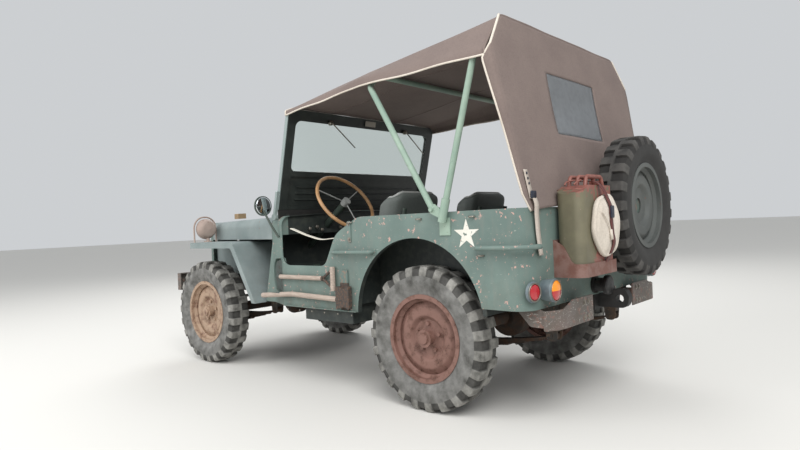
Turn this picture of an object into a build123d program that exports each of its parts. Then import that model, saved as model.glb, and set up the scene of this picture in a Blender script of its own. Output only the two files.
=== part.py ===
from build123d import *
import math
import os

os.makedirs("parts", exist_ok=True)

# Army 4x4 car with a canvas top, in millimetres.
# +X is the driver's (left) side, the front faces -Y, +Z is up, and Z = 0 is the ground.
# The origin lies midway between the front bumper's face and the spare tyre's rear face.

# Wheels and axles
WHEELBASE = 2032.0
HALF_TRACK = 622.0
TYRE_R = 362.0
TYRE_WIDTH = 160.0
RIM_SEAT_R = 203.0
RIM_FLANGE_R = 221.0
RIM_HALF_WIDTH = 62.0
RIM_WELL_R = 187.0
RIM_WALL = 4.0
HUB_R = 36.0
NUT_CIRCLE_R = 69.85
NUT_COUNT = 5
SPINDLE_R = 28.0
RUNNING = 0.05
DRUM_R = 120.0
DRUM_DEPTH = 50.0
BACKPLATE_R = 125.0
AXLE_TUBE_R = 38.0
DIFF_R = 118.0
DIFF_X = -140.0
KINGPIN_X = 545.0
KINGPIN_R = 12.0
KNUCKLE_BALL_R = 48.0
KNUCKLE_WALL = 8.0
KNUCKLE_GAP = 4.0
STEER_ARM = 130.0
ARM_THICK = 16.0
MOVING_GAP = 5.0

# Overall places along the car
FRONT_OVERHANG = 487.0
REAR_OVERHANG = 624.0
SPARE_GAP = 31.0
OVERALL_LENGTH = FRONT_OVERHANG + WHEELBASE + REAR_OVERHANG + SPARE_GAP + TYRE_WIDTH
FRONT_Y = -OVERALL_LENGTH / 2
FRONT_AXLE_Y = FRONT_Y + FRONT_OVERHANG
REAR_AXLE_Y = FRONT_AXLE_Y + WHEELBASE
TAIL_Y = REAR_AXLE_Y + REAR_OVERHANG
AXLE_Z = TYRE_R

# Frame
RAIL_HALF_SPAN = 365.0
RAIL_WIDTH = 60.0
RAIL_DEPTH = 100.0
RAIL_MID_Z = 405.0
RAIL_FRONT_Z = 485.0
RAIL_REAR_Z = 492.0
BUMPER_HALF_WIDTH = 630.0
BUMPER_HEIGHT = 130.0
BUMPER_DEPTH = 45.0

# Body tub
BODY_HALF_WIDTH = 735.0
PANEL = 5.0
SILL_Z = 475.0
TAIL_LOW_Z = 545.0
RAIL_TOP_Z = 983.0
FLOOR_Z = 510.0
REAR_FLOOR_Z = 600.0
TAIL_CORNER_R = 90.0
DOOR_FRONT_Y = FRONT_AXLE_Y + 1000.0
DOOR_SILL_Z = 718.0
REAR_STEP_Y = FRONT_AXLE_Y + 1576.0
ARCH_R = 400.0
ARCH_Z = 464.0
WELL_LOW_Z = 405.0
WHEELHOUSE_INNER_X = HALF_TRACK - TYRE_WIDTH / 2 - 20.0
WHEELHOUSE_TOP_Z = 875.0
WHEELHOUSE_FRONT_Y = REAR_AXLE_Y - 428.0
WHEELHOUSE_REAR_Y = REAR_AXLE_Y + 410.0

# Cowl, bonnet, grille and wings
COWL_FRONT_Y = FRONT_AXLE_Y + 796.0
COWL_HALF_WIDTH = 655.0
COWL_SEAM_Z = 900.0
COWL_TOP_Z = 1045.0
COWL_SHOULDER_Z = 1012.0
COWL_SLOPE = 97.0
FIREWALL_Z = 700.0
BONNET_EDGE_Z = 872.0
BONNET_FRONT_Z = 1022.0
BONNET_FRONT_HALF = 440.0
BONNET_SHEET = 4.0
GRILLE_Y = FRONT_Y + 190.0
GRILLE_DEPTH = 28.0
GRILLE_LOW_Z = 530.0
SLOT_COUNT = 9
SLOT_PITCH = 50.0
SLOT_WIDTH = 30.0
SLOT_HEIGHT = 330.0
HEADLAMP_X = 312.0
HEADLAMP_Z = 850.0
HEADLAMP_R = 82.0
WING_TOP_Z = 861.0
WING_INNER_X = 405.0
WING_SHEET = 4.0
WING_SKIRT = 40.0
WING_FRONT_Y = FRONT_AXLE_Y - 195.0
WING_BEND_Y = FRONT_AXLE_Y + 454.0

# Windscreen
SCREEN_Y = FRONT_AXLE_Y + 906.0
SCREEN_BASE_Z = 1050.0
SCREEN_TOP_Z = 1660.0
SCREEN_RAKE = 14.0
SCREEN_HALF_WIDTH = BODY_HALF_WIDTH - 40.0
SCREEN_DEPTH = 24.0
SCREEN_BAR = 66.0
GLASS_LOW_Z = SCREEN_BASE_Z + 0.4 * (SCREEN_TOP_Z - SCREEN_BASE_Z)
GLASS_THICK = 5.0

# Canvas top and its bows
BOW_R = 15.0
BOW_PIVOT_Y = REAR_AXLE_Y + 208.0
BOW_PIVOT_Z = 936.0
BOW_PIVOT_X = BODY_HALF_WIDTH + 25.0
CANVAS = 6.0
CANVAS_HALF_WIDTH = BODY_HALF_WIDTH + 20.0
CURTAIN_LOW_Z = 968.0

# Steering
WHEEL_HUB_X = 350.0
WHEEL_HUB_Y = FRONT_AXLE_Y + 1161.0
WHEEL_HUB_Z = 1086.0
COLUMN_PITCH = 36.0
STEERING_WHEEL_R = 216.0
COLUMN_R = 22.0
BELLCRANK_X = 130.0
DRAG_ARM = 124.0
PITMAN_LENGTH = 190.0
PITMAN_Y = FRONT_AXLE_Y + 500.0
PITMAN_Z = 606.0
COLUMN_LENGTH = (WHEEL_HUB_Z - PITMAN_Z) / math.sin(math.radians(COLUMN_PITCH)) - 12.0

# Rear equipment
SPARE_X = -228.0
SPARE_Z = 977.0
CAN_LOW_X = 140.0
CAN_WIDTH = 345.0
CAN_DEPTH = 128.0
CAN_HEIGHT = 400.0
CAN_Z = 674.0
CAN_GAP = 12.0
CAN_ROUND = 40.0
BUCKET_X = 270.0
BUCKET_Z = 890.0
BUCKET_HALF_WIDTH = 144.0
BUCKET_HALF_HEIGHT = 148.0
BUCKET_THICK = 44.0

# Seats
SEATS = [
    # x of the seat's middle, place of its front edge along the car
    (310.0, FRONT_AXLE_Y + 1225.0),
    (-352.0, FRONT_AXLE_Y + 1275.0),
]
BACK_WIDTH = 410.0
BACK_WRAP = 92.0
CUSHION_WIDTH = 322.0
SEAT_DEPTH = 450.0
CUSHION_Z = 700.0
CUSHION_THICK = 75.0
BACK_LOW_Z = 890.0
BACK_TOP_Z = 1131.0
BACK_THICK = 55.0
BACK_LEAN = 12.0
SEAT_TUBE_R = 12.5


def rounded(before, corner, after):
    """Start, middle and end of the arc that rounds one (u, v, radius) corner."""
    here = Vector(*corner[:2])
    radius = corner[2]
    if radius <= 0:
        return here, None, here
    one = (Vector(*before[:2]) - here).normalized()
    two = (Vector(*after[:2]) - here).normalized()
    half = math.radians(one.get_angle(two)) / 2
    reach = radius / math.tan(half)
    middle = (one + two).normalized()
    return here + one * reach, here + middle * (radius / math.sin(half) - radius), here + two * reach


def outline(corners):
    """Closed face, facing up, from a table of corners with columns u, v, fillet radius."""
    count = len(corners)
    turned = sum(corners[i - 1][0] * corners[i][1] - corners[i][0] * corners[i - 1][1] for i in range(count))
    if turned < 0:
        corners = corners[::-1]
    arcs = [rounded(corners[i - 1], corners[i], corners[(i + 1) % count]) for i in range(count)]
    edges = []
    for i, (start, middle, end) in enumerate(arcs):
        if middle is not None:
            edges.append(Edge.make_three_point_arc(start, middle, end))
        following = arcs[(i + 1) % count][0]
        if (following - end).length > 1e-6:
            edges.append(Edge.make_line(end, following))
    return Face(Wire(edges))


def route(corners, z):
    """Open level path of an (x, y, radius) table, with its own bend at each corner."""
    edges = []
    here = Vector(*corners[0][:2], z)
    for before, corner, after in zip(corners, corners[1:], corners[2:]):
        start, middle, end = [point + Vector(0, 0, z) for point in rounded(before, corner, after)]
        edges.append(Edge.make_line(here, start))
        edges.append(Edge.make_three_point_arc(start, middle, end))
        here = end
    edges.append(Edge.make_line(here, Vector(*corners[-1][:2], z)))
    return Wire(edges)


def along_x(corners, low, high):
    """Prism of a (y, z, radius) table between two x places."""
    plane = Plane(origin=(low, 0, 0), x_dir=(0, 1, 0), z_dir=(1, 0, 0))
    return extrude(plane * outline(corners), amount=high - low)


def along_y(corners, low, high):
    """Prism of an (x, z, radius) table between two y places."""
    plane = Plane(origin=(0, high, 0), x_dir=(1, 0, 0), z_dir=(0, -1, 0))
    return extrude(plane * outline(corners), amount=high - low)


def along_z(corners, low, high):
    """Prism of an (x, y, radius) table between two z places."""
    return extrude(Pos(0, 0, low) * outline(corners), amount=high - low)


def block(low, high):
    """Box between two opposite corners."""
    size = [high[i] - low[i] for i in range(3)]
    centre = [(high[i] + low[i]) / 2 for i in range(3)]
    return Pos(*centre) * Box(*size)


def bar(start, end, radius):
    """Round bar from one point to another."""
    path = Vector(*end) - Vector(*start)
    return extrude(Plane(origin=start, z_dir=path) * Circle(radius), amount=path.length)


def tube(points, radius, bend):
    """Bent round bar along a route of straight runs and tangent arcs."""
    path = FilletPolyline(*points, radius=bend)
    return sweep(Plane(origin=path @ 0, z_dir=path % 0) * Circle(radius), path=path)


def turned_x(corners):
    """Solid of revolution about the X axis of an (x, radius, fillet) table."""
    return revolve(outline(corners), Axis.X)


def mirrored(shape):
    """The same piece on the other side of the car."""
    return mirror(shape, about=Plane.YZ)


def both_sides(shape):
    """A piece and its mirror image, in one list of solids."""
    return list(shape.solids()) + list(mirrored(shape).solids())


def write(name, *shapes):
    """Write one node as its solids."""
    solids = [solid for shape in shapes for solid in shape.solids()]
    export_step(solids[0] if len(solids) == 1 else Compound(children=solids), f"parts/{name}.step")


# Tyre and wheel, turned about X with the wheel's outside towards +X

LUG_COUNT = 23
LUG_DEPTH = 12.0
BEAD_X = RIM_HALF_WIDTH - RIM_WALL - 1
LUG_END_X = 4.0
SIDEWALL = [
    # distance from the tyre's middle, radius at the flats between its corners
    (BEAD_X, RIM_SEAT_R + 0.1),
    (BEAD_X, RIM_FLANGE_R + 2),
    (TYRE_WIDTH / 2, RIM_FLANGE_R + 58),
]
SHOULDER = (TYRE_WIDTH / 2 - 5, TYRE_R - 48)
GROOVE = [
    # from the shoulder to the middle
    SHOULDER,
    (TYRE_WIDTH / 2 - 19, TYRE_R - LUG_DEPTH - 3),
    (LUG_END_X, TYRE_R - LUG_DEPTH),
]
LUG = [
    SHOULDER,
    (TYRE_WIDTH / 2 - 14, TYRE_R - 8),
    (LUG_END_X, TYRE_R),
]


def facet(*points):
    return Face(Wire.make_polygon(points, close=True))


def tyre():
    """Carcass in flat facets with bar lugs that stand half a pitch apart on its two sides."""
    turn = 2 * math.pi / LUG_COUNT
    flat = 1 / math.cos(turn / 2)

    def corner(side, row, step, scale=1.0):
        along, radius = row
        angle = turn * step
        return Vector(side * along, radius * scale * math.sin(angle), radius * scale * math.cos(angle))

    faces = []
    for i in range(LUG_COUNT):
        faces.append(facet(corner(1, SIDEWALL[0], i, flat), corner(-1, SIDEWALL[0], i, flat),
                           corner(-1, SIDEWALL[0], i + 1, flat), corner(1, SIDEWALL[0], i + 1, flat)))
        for half in (0, 0.5):
            ends = (i + half, i + half + 0.5)
            faces.append(facet(*[corner(side, GROOVE[-1], step) for side, step in
                                 ((1, ends[0]), (-1, ends[0]), (-1, ends[1]), (1, ends[1]))]))
        for side in (1, -1):
            for low, high in zip(SIDEWALL, SIDEWALL[1:]):
                faces.append(facet(corner(side, low, i, flat), corner(side, low, i + 1, flat),
                                   corner(side, high, i + 1, flat), corner(side, high, i, flat)))
            low = [corner(side, SIDEWALL[-1], i + step, flat) for step in (0, 1)]
            high = [corner(side, SHOULDER, i + step) for step in (0, 0.5, 1)]
            faces.append(facet(low[0], high[0], high[1]))
            faces.append(facet(low[0], high[1], low[1]))
            faces.append(facet(low[1], high[1], high[2]))
            start = i if side > 0 else i + 0.5
            for rows, begin in ((LUG, start), (GROOVE, start + 0.5)):
                for near, far in zip(rows, rows[1:]):
                    faces.append(facet(corner(side, near, begin), corner(side, near, begin + 0.5),
                                       corner(side, far, begin + 0.5), corner(side, far, begin)))
            for step in (start, start + 0.5):
                flank = LUG + [GROOVE[-1], GROOVE[1]]
                faces.append(facet(*[corner(side, row, step) for row in flank]))
            faces.append(facet(corner(side, LUG[-1], start), corner(side, LUG[-1], start + 0.5),
                               corner(side, GROOVE[-1], start + 0.5), corner(side, GROOVE[-1], start)))
    return Solid(Shell(faces))


def rim():
    edge = RIM_HALF_WIDTH
    seat = edge - RIM_WALL
    well = 26.0
    outer = [
        (-edge, RIM_FLANGE_R, 0), (-seat, RIM_FLANGE_R, 0), (-seat, RIM_SEAT_R, 0),
        (-well - 12, RIM_SEAT_R, 0), (-well, RIM_WELL_R, 0), (well, RIM_WELL_R, 0),
        (well + 12, RIM_SEAT_R, 0), (seat, RIM_SEAT_R, 0), (seat, RIM_FLANGE_R, 0),
        (edge, RIM_FLANGE_R, 0),
    ]
    inner = [
        (edge, RIM_SEAT_R - RIM_WALL, 0), (well + 14, RIM_SEAT_R - RIM_WALL, 0),
        (well, RIM_WELL_R - RIM_WALL, 0), (-well, RIM_WELL_R - RIM_WALL, 0),
        (-well - 14, RIM_SEAT_R - RIM_WALL, 0), (-edge, RIM_SEAT_R - RIM_WALL, 0),
    ]
    return turned_x(outer + inner)


def disc(hole_r):
    sheet = 6.0
    rim_r = RIM_WELL_R - RIM_WALL / 2
    front = [(14, rim_r, 0), (34, 152, 18), (34, 112, 14), (12, 92, 8), (12, hole_r, 0)]
    back = [(x - sheet, r, fillet) for x, r, fillet in reversed(front)]
    return turned_x(front + back)


def nuts():
    studs = []
    for i in range(NUT_COUNT):
        turn = Rot(360.0 * i / NUT_COUNT, 0, 0)
        nut = Pos(11, 0, NUT_CIRCLE_R) * Rot(0, 90, 0)
        studs.append(turn * (nut * extrude(RegularPolygon(11, 6), amount=14)))
    return studs


def road_wheel():
    web = -DRUM_DEPTH + 48.0
    drum = turned_x([
        (-DRUM_DEPTH, DRUM_R - 8, 0), (-DRUM_DEPTH, DRUM_R, 0), (web + 8, DRUM_R, 6),
        (web + 8, SPINDLE_R + RUNNING, 0), (web, SPINDLE_R + RUNNING, 0), (web, DRUM_R - 8, 0),
    ])
    hub = turned_x([
        (web, SPINDLE_R + RUNNING, 0), (web, HUB_R, 0), (46, HUB_R, 0), (46, HUB_R + 8, 0),
        (56, HUB_R + 8, 0), (56, HUB_R - 8, 0), (66, HUB_R - 10, 3), (66, 0, 0), (54, 0, 0),
        (54, SPINDLE_R + RUNNING, 0),
    ])
    return rim() + disc(HUB_R - 1) + drum + hub + nuts()


def spare_disc_wheel():
    return rim() + disc(HUB_R + 4)


def wheel_place(side, y):
    """Place of a wheel: side is 1 at the driver's side and -1 at the other."""
    turn = Rot(0, 0, 0) if side > 0 else Rot(0, 0, 180)
    return Pos(side * HALF_TRACK, y, AXLE_Z) * turn


WHEELS = [
    # name, side, y
    ("front_left", 1, FRONT_AXLE_Y),
    ("front_right", -1, FRONT_AXLE_Y),
    ("rear_left", 1, REAR_AXLE_Y),
    ("rear_right", -1, REAR_AXLE_Y),
]


# Axles, knuckles and springs

SPINDLE_END = HALF_TRACK + 50.0
BACKPLATE_X = HALF_TRACK - DRUM_DEPTH - MOVING_GAP


def spindle_and_plate():
    plate = Pos(BACKPLATE_X - 2, 0, 0) * Rot(0, 90, 0) * Cylinder(BACKPLATE_R, 4)
    return plate + bar((BACKPLATE_X - 4, 0, 0), (SPINDLE_END, 0, 0), SPINDLE_R)


def differential(nose):
    """Banjo housing with its pinion nose towards nose, 1 for +Y or -1 for -Y."""
    housing = turned_x([
        (-78, 0, 0), (-78, 62, 0), (-46, DIFF_R, 22), (46, DIFF_R, 22), (78, 62, 0), (78, 0, 0),
    ])
    pinion = bar((0, nose * 40, 0), (0, nose * 210, 0), 44)
    flange = bar((0, nose * 205, 0), (0, nose * 222, 0), 52)
    return Pos(DIFF_X, 0, 0) * (housing + pinion + flange)


def rear_axle():
    side = spindle_and_plate()
    whole = bar((-BACKPLATE_X, 0, 0), (BACKPLATE_X, 0, 0), AXLE_TUBE_R)
    whole = whole + side + mirrored(side) + differential(-1)
    return Pos(0, REAR_AXLE_Y, AXLE_Z) * whole


BELLCRANK_LOW_Z = AXLE_Z + AXLE_TUBE_R + 40.0


def front_axle():
    ball = Pos(KINGPIN_X, 0, 0) * Rot(0, 90, 0) * Sphere(KNUCKLE_BALL_R)
    pin_reach = BELLCRANK_LOW_Z + ARM_THICK - AXLE_Z
    pin = bar((KINGPIN_X, 0, -pin_reach), (KINGPIN_X, 0, pin_reach), KINGPIN_R)
    whole = bar((-KINGPIN_X, 0, 0), (KINGPIN_X, 0, 0), AXLE_TUBE_R - 3)
    whole = whole + ball + pin + mirrored(ball) + mirrored(pin) + differential(1)
    post = bar((BELLCRANK_X, 0, 0), (BELLCRANK_X, 0, pin_reach + 4), KINGPIN_R)
    boss = bar((BELLCRANK_X, 0, 0), (BELLCRANK_X, 0, pin_reach - ARM_THICK - 1), 26)
    return Pos(0, FRONT_AXLE_Y, AXLE_Z) * (whole + post + boss)


def knuckle():
    """Left knuckle: open ball cup, kingpin caps, steering arm, spindle and brake plate."""
    inner = KNUCKLE_BALL_R + KNUCKLE_GAP
    outer = inner + KNUCKLE_WALL
    cup = Rot(0, 90, 0) * (Sphere(outer) - Sphere(inner))
    cup = cup - block((-outer - 1, -outer - 1, -outer - 1), (-12, outer + 1, outer + 1))
    top = BELLCRANK_LOW_Z + ARM_THICK - AXLE_Z
    for sign in (-1, 1):
        cup = cup + bar((0, 0, sign * (inner + 1)), (0, 0, sign * top), 28)
    arm = along_z([(-18, 0, 0), (18, 0, 0), (18, -STEER_ARM - 18, 17), (-18, -STEER_ARM - 18, 17)],
                  top - ARM_THICK, top)
    stud = bar((0, -STEER_ARM, top - ARM_THICK - 30), (0, -STEER_ARM, top - 1), 8)
    cup = cup + arm
    cup = cup - bar((0, 0, -top - 1), (0, 0, top + 1), KINGPIN_R + RUNNING)
    outboard = Pos(-KINGPIN_X, 0, 0) * spindle_and_plate()
    outboard = outboard - Rot(0, 90, 0) * Sphere(inner + KNUCKLE_WALL / 2)
    return Pos(KINGPIN_X, FRONT_AXLE_Y, AXLE_Z) * (cup + stud + outboard)


SPRINGS = [
    # axle y, half length of the main leaf, rise of its eyes
    (FRONT_AXLE_Y, 395.0, 36.0),
    (REAR_AXLE_Y, 533.0, 50.0),
]
SPRING_X = RAIL_HALF_SPAN - 22.0
SPRING_WIDTH = 44.0
LEAF_THICK = 8.0
EYE_R = 20.0
EYE_BOLT_R = 8.0
LEAF_SHARES = [1.0, 0.9, 0.72, 0.54, 0.36, 0.2]
SPRING_TOP_Z = AXLE_Z - AXLE_TUBE_R - 2.0


def leaf_spring(axle_y, half, rise):
    """Stack of curved leaves under the axle, with its eyes, shackle and clips."""
    bow_r = (half ** 2 + rise ** 2) / (2 * rise)
    low_x = SPRING_X - SPRING_WIDTH / 2
    plane = Plane(origin=(low_x, axle_y, SPRING_TOP_Z + bow_r), x_dir=(0, 1, 0), z_dir=(1, 0, 0))
    pack = None
    for i, share in enumerate(LEAF_SHARES):
        ring = Circle(bow_r + (i + 1) * LEAF_THICK) - Circle(bow_r + i * LEAF_THICK)
        leaf = ring & (Pos(0, -bow_r) * Rectangle(2 * half * share, bow_r))
        leaf = extrude(plane * leaf, amount=SPRING_WIDTH)
        pack = leaf if pack is None else pack + leaf
    eye_z = SPRING_TOP_Z + rise
    for sign in (-1, 1):
        eye = (low_x, axle_y + sign * half, eye_z)
        far = (low_x + SPRING_WIDTH, eye[1], eye_z)
        pack = (pack + bar(eye, far, EYE_R)) - bar(eye, far, EYE_BOLT_R)
    saddle = block((low_x - 6, axle_y - 60, SPRING_TOP_Z - len(LEAF_SHARES) * LEAF_THICK - 8),
                   (low_x + SPRING_WIDTH + 6, axle_y + 60, SPRING_TOP_Z - 12))
    return pack + saddle


# Frame rails

TRANSFER_Z = RAIL_MID_Z + 45
SHAFT_R = 25.0
SHAFTS = [
    # ends of the front and the rear propeller shaft
    ((DIFF_X, FRONT_AXLE_Y + 226, AXLE_Z), (DIFF_X, FRONT_AXLE_Y + 996, TRANSFER_Z)),
    ((DIFF_X, FRONT_AXLE_Y + 1234.5, TRANSFER_Z), (DIFF_X, REAR_AXLE_Y - 227, AXLE_Z)),
]


def rail_line():
    """Underside of a rail as a table of y, z, fillet radius."""
    return [
        (FRONT_Y + BUMPER_DEPTH, RAIL_FRONT_Z + 25, 0),
        (FRONT_AXLE_Y - 260, RAIL_FRONT_Z, 300),
        (FRONT_AXLE_Y + 260, RAIL_FRONT_Z, 300),
        (FRONT_AXLE_Y + 560, RAIL_MID_Z, 300),
        (REAR_STEP_Y + 30, RAIL_MID_Z, 300),
        (REAR_STEP_Y + 290, RAIL_REAR_Z, 300),
        (TAIL_Y - 12, RAIL_REAR_Z, 0),
    ]


CROSS_MEMBERS = [
    # y, half height, half depth, underside z
    (FRONT_Y + BUMPER_DEPTH + 30, 36, 28, RAIL_FRONT_Z + 22),
    (FRONT_AXLE_Y + 660, 10, 40, RAIL_MID_Z + 2),
    (REAR_AXLE_Y - 560, 24, 45, RAIL_MID_Z + 51),
    (REAR_AXLE_Y + 250, 34, 40, RAIL_REAR_Z + 10),
    (TAIL_Y - 60, 38, 40, RAIL_REAR_Z + 6),
]


def rail_underside(y):
    """Height of a rail's underside at one place along the car."""
    table = rail_line()
    for (start, low, _), (end, high, _) in zip(table, table[1:]):
        if y <= end:
            return low + (high - low) * (y - start) / (end - start)
    return table[-1][1]


def hanger(eye_y, eye_z):
    """Fork under the rail that holds one spring eye, with its bolt."""
    low_x, high_x = SPRING_X - SPRING_WIDTH / 2, SPRING_X + SPRING_WIDTH / 2
    top = rail_underside(eye_y) + RAIL_DEPTH / 3
    fork = along_x([(eye_y - 26, eye_z - 24, 20), (eye_y + 26, eye_z - 24, 20), (eye_y + 44, top, 0),
                    (eye_y - 44, top, 0)], low_x - 6, high_x + 6)
    slot = block((low_x - 0.3, eye_y - 60, eye_z - 30), (high_x + 0.3, eye_y + 60, eye_z + EYE_R + 5))
    bolt = bar((low_x - 10, eye_y, eye_z), (high_x + 10, eye_y, eye_z), EYE_BOLT_R)
    return (fork - slot) + bolt


def frame_rails():
    low = rail_line()
    high = [(y, z + RAIL_DEPTH, radius) for y, z, radius in reversed(low)]
    rail = along_x(low + high, RAIL_HALF_SPAN - RAIL_WIDTH, RAIL_HALF_SPAN)
    frame = rail + mirrored(rail)
    span = RAIL_HALF_SPAN - RAIL_WIDTH + 5
    for y, half_height, half_depth, low_z in CROSS_MEMBERS:
        frame = frame + block((-span, y - half_depth, low_z), (span, y + half_depth, low_z + 2 * half_height))
    for axle_y, half, rise in SPRINGS:
        for sign in (-1, 1):
            fork = hanger(axle_y + sign * half, SPRING_TOP_Z + rise)
            frame = frame + fork + mirrored(fork)
    for start, end in SHAFTS:
        frame = frame - bar(start, end, SHAFT_R + 8)
    return frame


def front_bumper():
    low_z = RAIL_FRONT_Z + 25 + RAIL_DEPTH / 2 - BUMPER_HEIGHT / 2
    half = BUMPER_HALF_WIDTH
    bumper = block((-half, FRONT_Y, low_z), (half, FRONT_Y + BUMPER_DEPTH, low_z + BUMPER_HEIGHT))
    hollow = block((-half + 6, FRONT_Y + 6, low_z + 6),
                   (half - 6, FRONT_Y + BUMPER_DEPTH + 1, low_z + BUMPER_HEIGHT - 6))
    web = block((-RAIL_HALF_SPAN, FRONT_Y + 5, low_z + 5),
                (RAIL_HALF_SPAN, FRONT_Y + BUMPER_DEPTH, low_z + BUMPER_HEIGHT - 5))
    return bumper - (hollow - web)


def bumperette():
    """Left bumperette: a stepped plate bent forward at its outer end, with its arm and gusset."""
    y = TAIL_Y + 60
    low, high, step = 448, 566, 534
    plan = along_z([(248, y, 0), (248, y + 7, 0), (560, y + 7, 160), (640, y - 34, 0),
                    (640, y - 42, 0), (560, y, 160)], low - 5, high + 5)
    side = along_y([(247, low, 0), (247, high, 6), (450, high, 30), (540, step, 30), (641, step, 6),
                    (641, low, 6)], y - 120, y + 20)
    arm = block((RAIL_HALF_SPAN - 50, TAIL_Y - 11, 470), (RAIL_HALF_SPAN - 10, y + 1, 530))
    gusset = along_x([(TAIL_Y - 115, TAIL_LOW_Z - 12, 4), (TAIL_Y - 3, TAIL_LOW_Z - 5, 0), (y - 36, step - 3, 0),
                      (y - 36, low + 12, 0), (TAIL_Y - 50, low + 14, 30)], 628, 634)
    return (plan & side) + arm + gusset


PINTLE_Z = RAIL_REAR_Z + 30
PINTLE_Y = TAIL_Y + 104
PINTLE_R = 20.0
PINTLE_HALF = 22.0


def pintle_hook():
    """Hook and its closed latch round the bore that takes a trailer's towing ring."""
    z = PINTLE_Z
    plate = block((-70, TAIL_Y - 20, z - 60), (70, TAIL_Y - 6, z + 16))
    jaw = along_x([(TAIL_Y - 7, z - 48, 0), (PINTLE_Y + 40, z - 50, 36), (PINTLE_Y + 46, z + 8, 20),
                   (PINTLE_Y + 30, z + 42, 16), (PINTLE_Y - 34, z + 42, 16), (PINTLE_Y - 44, z + 14, 0),
                   (TAIL_Y - 7, z + 14, 0)], -PINTLE_HALF, PINTLE_HALF)
    horn = along_x([(PINTLE_Y - 62, z + 13, 0), (PINTLE_Y - 30, z + 13, 0), (PINTLE_Y - 34, z + 60, 12),
                    (PINTLE_Y - 66, z + 60, 12)], -9, 9)
    ring = bar((-PINTLE_HALF - 1, PINTLE_Y, z - 4), (PINTLE_HALF + 1, PINTLE_Y, z - 4), PINTLE_R)
    return plate + (jaw + horn - ring)


# Engine, driveline and exhaust

def engine_block():
    engine = block((-165, FRONT_AXLE_Y - 130, 500), (165, FRONT_AXLE_Y + 600, 900))
    gearbox = block((-105, FRONT_AXLE_Y + 600, 430), (105, FRONT_AXLE_Y + 1000, 505))
    transfer = block((-230, FRONT_AXLE_Y + 1000, 400), (90, FRONT_AXLE_Y + 1230, 505))
    radiator = block((-230, GRILLE_Y + 75, 560), (230, GRILLE_Y + 130, 960))
    return engine + gearbox + transfer, radiator


def propeller_shafts():
    return [bar(start, end, SHAFT_R) for start, end in SHAFTS]


def exhaust():
    pipe = tube([(-268, FRONT_AXLE_Y + 240, 560), (-268, FRONT_AXLE_Y + 460, 372),
                 (-268, FRONT_AXLE_Y + 1100, 372), (-420, FRONT_AXLE_Y + 1180, 372)], 19, 60)
    silencer = Pos(-470, FRONT_AXLE_Y + 1240, 385) * Rot(90, 0, 0) * Cylinder(62, 380)
    tail = tube([(-470, FRONT_AXLE_Y + 1420, 385), (-470, FRONT_AXLE_Y + 1500, 385),
                 (-560, FRONT_AXLE_Y + 1530, 385), (-700, FRONT_AXLE_Y + 1530, 385)], 17, 36)
    return silencer + pipe + tail


# Body

def body_plan(inset):
    """Plan outline of the tub, drawn in by inset, as a table of x, y, fillet radius."""
    side = BODY_HALF_WIDTH - inset
    nose = COWL_HALF_WIDTH - inset
    front = COWL_FRONT_Y - COWL_SLOPE - 1
    tail = TAIL_Y - inset
    corner = TAIL_CORNER_R - inset
    return [(-nose, front, 0), (nose, front, 0), (nose, COWL_FRONT_Y, 0), (side, DOOR_FRONT_Y, 0),
            (side, tail, corner), (-side, tail, corner), (-side, DOOR_FRONT_Y, 0),
            (-nose, COWL_FRONT_Y, 0)]


def body_side():
    """Side outline of the tub with its door cut, as a table of y, z, fillet radius."""
    return [
        (COWL_FRONT_Y - COWL_SLOPE, SILL_Z, 0),
        (REAR_AXLE_Y, SILL_Z, 0),
        (REAR_AXLE_Y, TAIL_LOW_Z, 0),
        (TAIL_Y + 1, TAIL_LOW_Z - 4, 0),
        (TAIL_Y + 1, RAIL_TOP_Z, 0),
        (DOOR_FRONT_Y + 656, RAIL_TOP_Z, 150),
        (DOOR_FRONT_Y + 476, DOOR_SILL_Z + 176, 150),
        (DOOR_FRONT_Y + 381, DOOR_SILL_Z, 60),
        (DOOR_FRONT_Y, DOOR_SILL_Z, 70),
        (DOOR_FRONT_Y, COWL_SEAM_Z, 0),
        (COWL_FRONT_Y, COWL_SEAM_Z, 0),
        (COWL_FRONT_Y, BONNET_EDGE_Z - 15, 0),
    ]


def floor_section(offset):
    """Firewall, toe board and stepped floor seen from the side, raised by offset."""
    return [
        (COWL_FRONT_Y + offset, COWL_SEAM_Z - 1),
        (COWL_FRONT_Y + offset, FIREWALL_Z + offset),
        (DOOR_FRONT_Y - 30 + offset, FLOOR_Z + offset),
        (REAR_STEP_Y - offset, FLOOR_Z + offset),
        (REAR_STEP_Y - offset, REAR_FLOOR_Z + offset),
    ]


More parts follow.
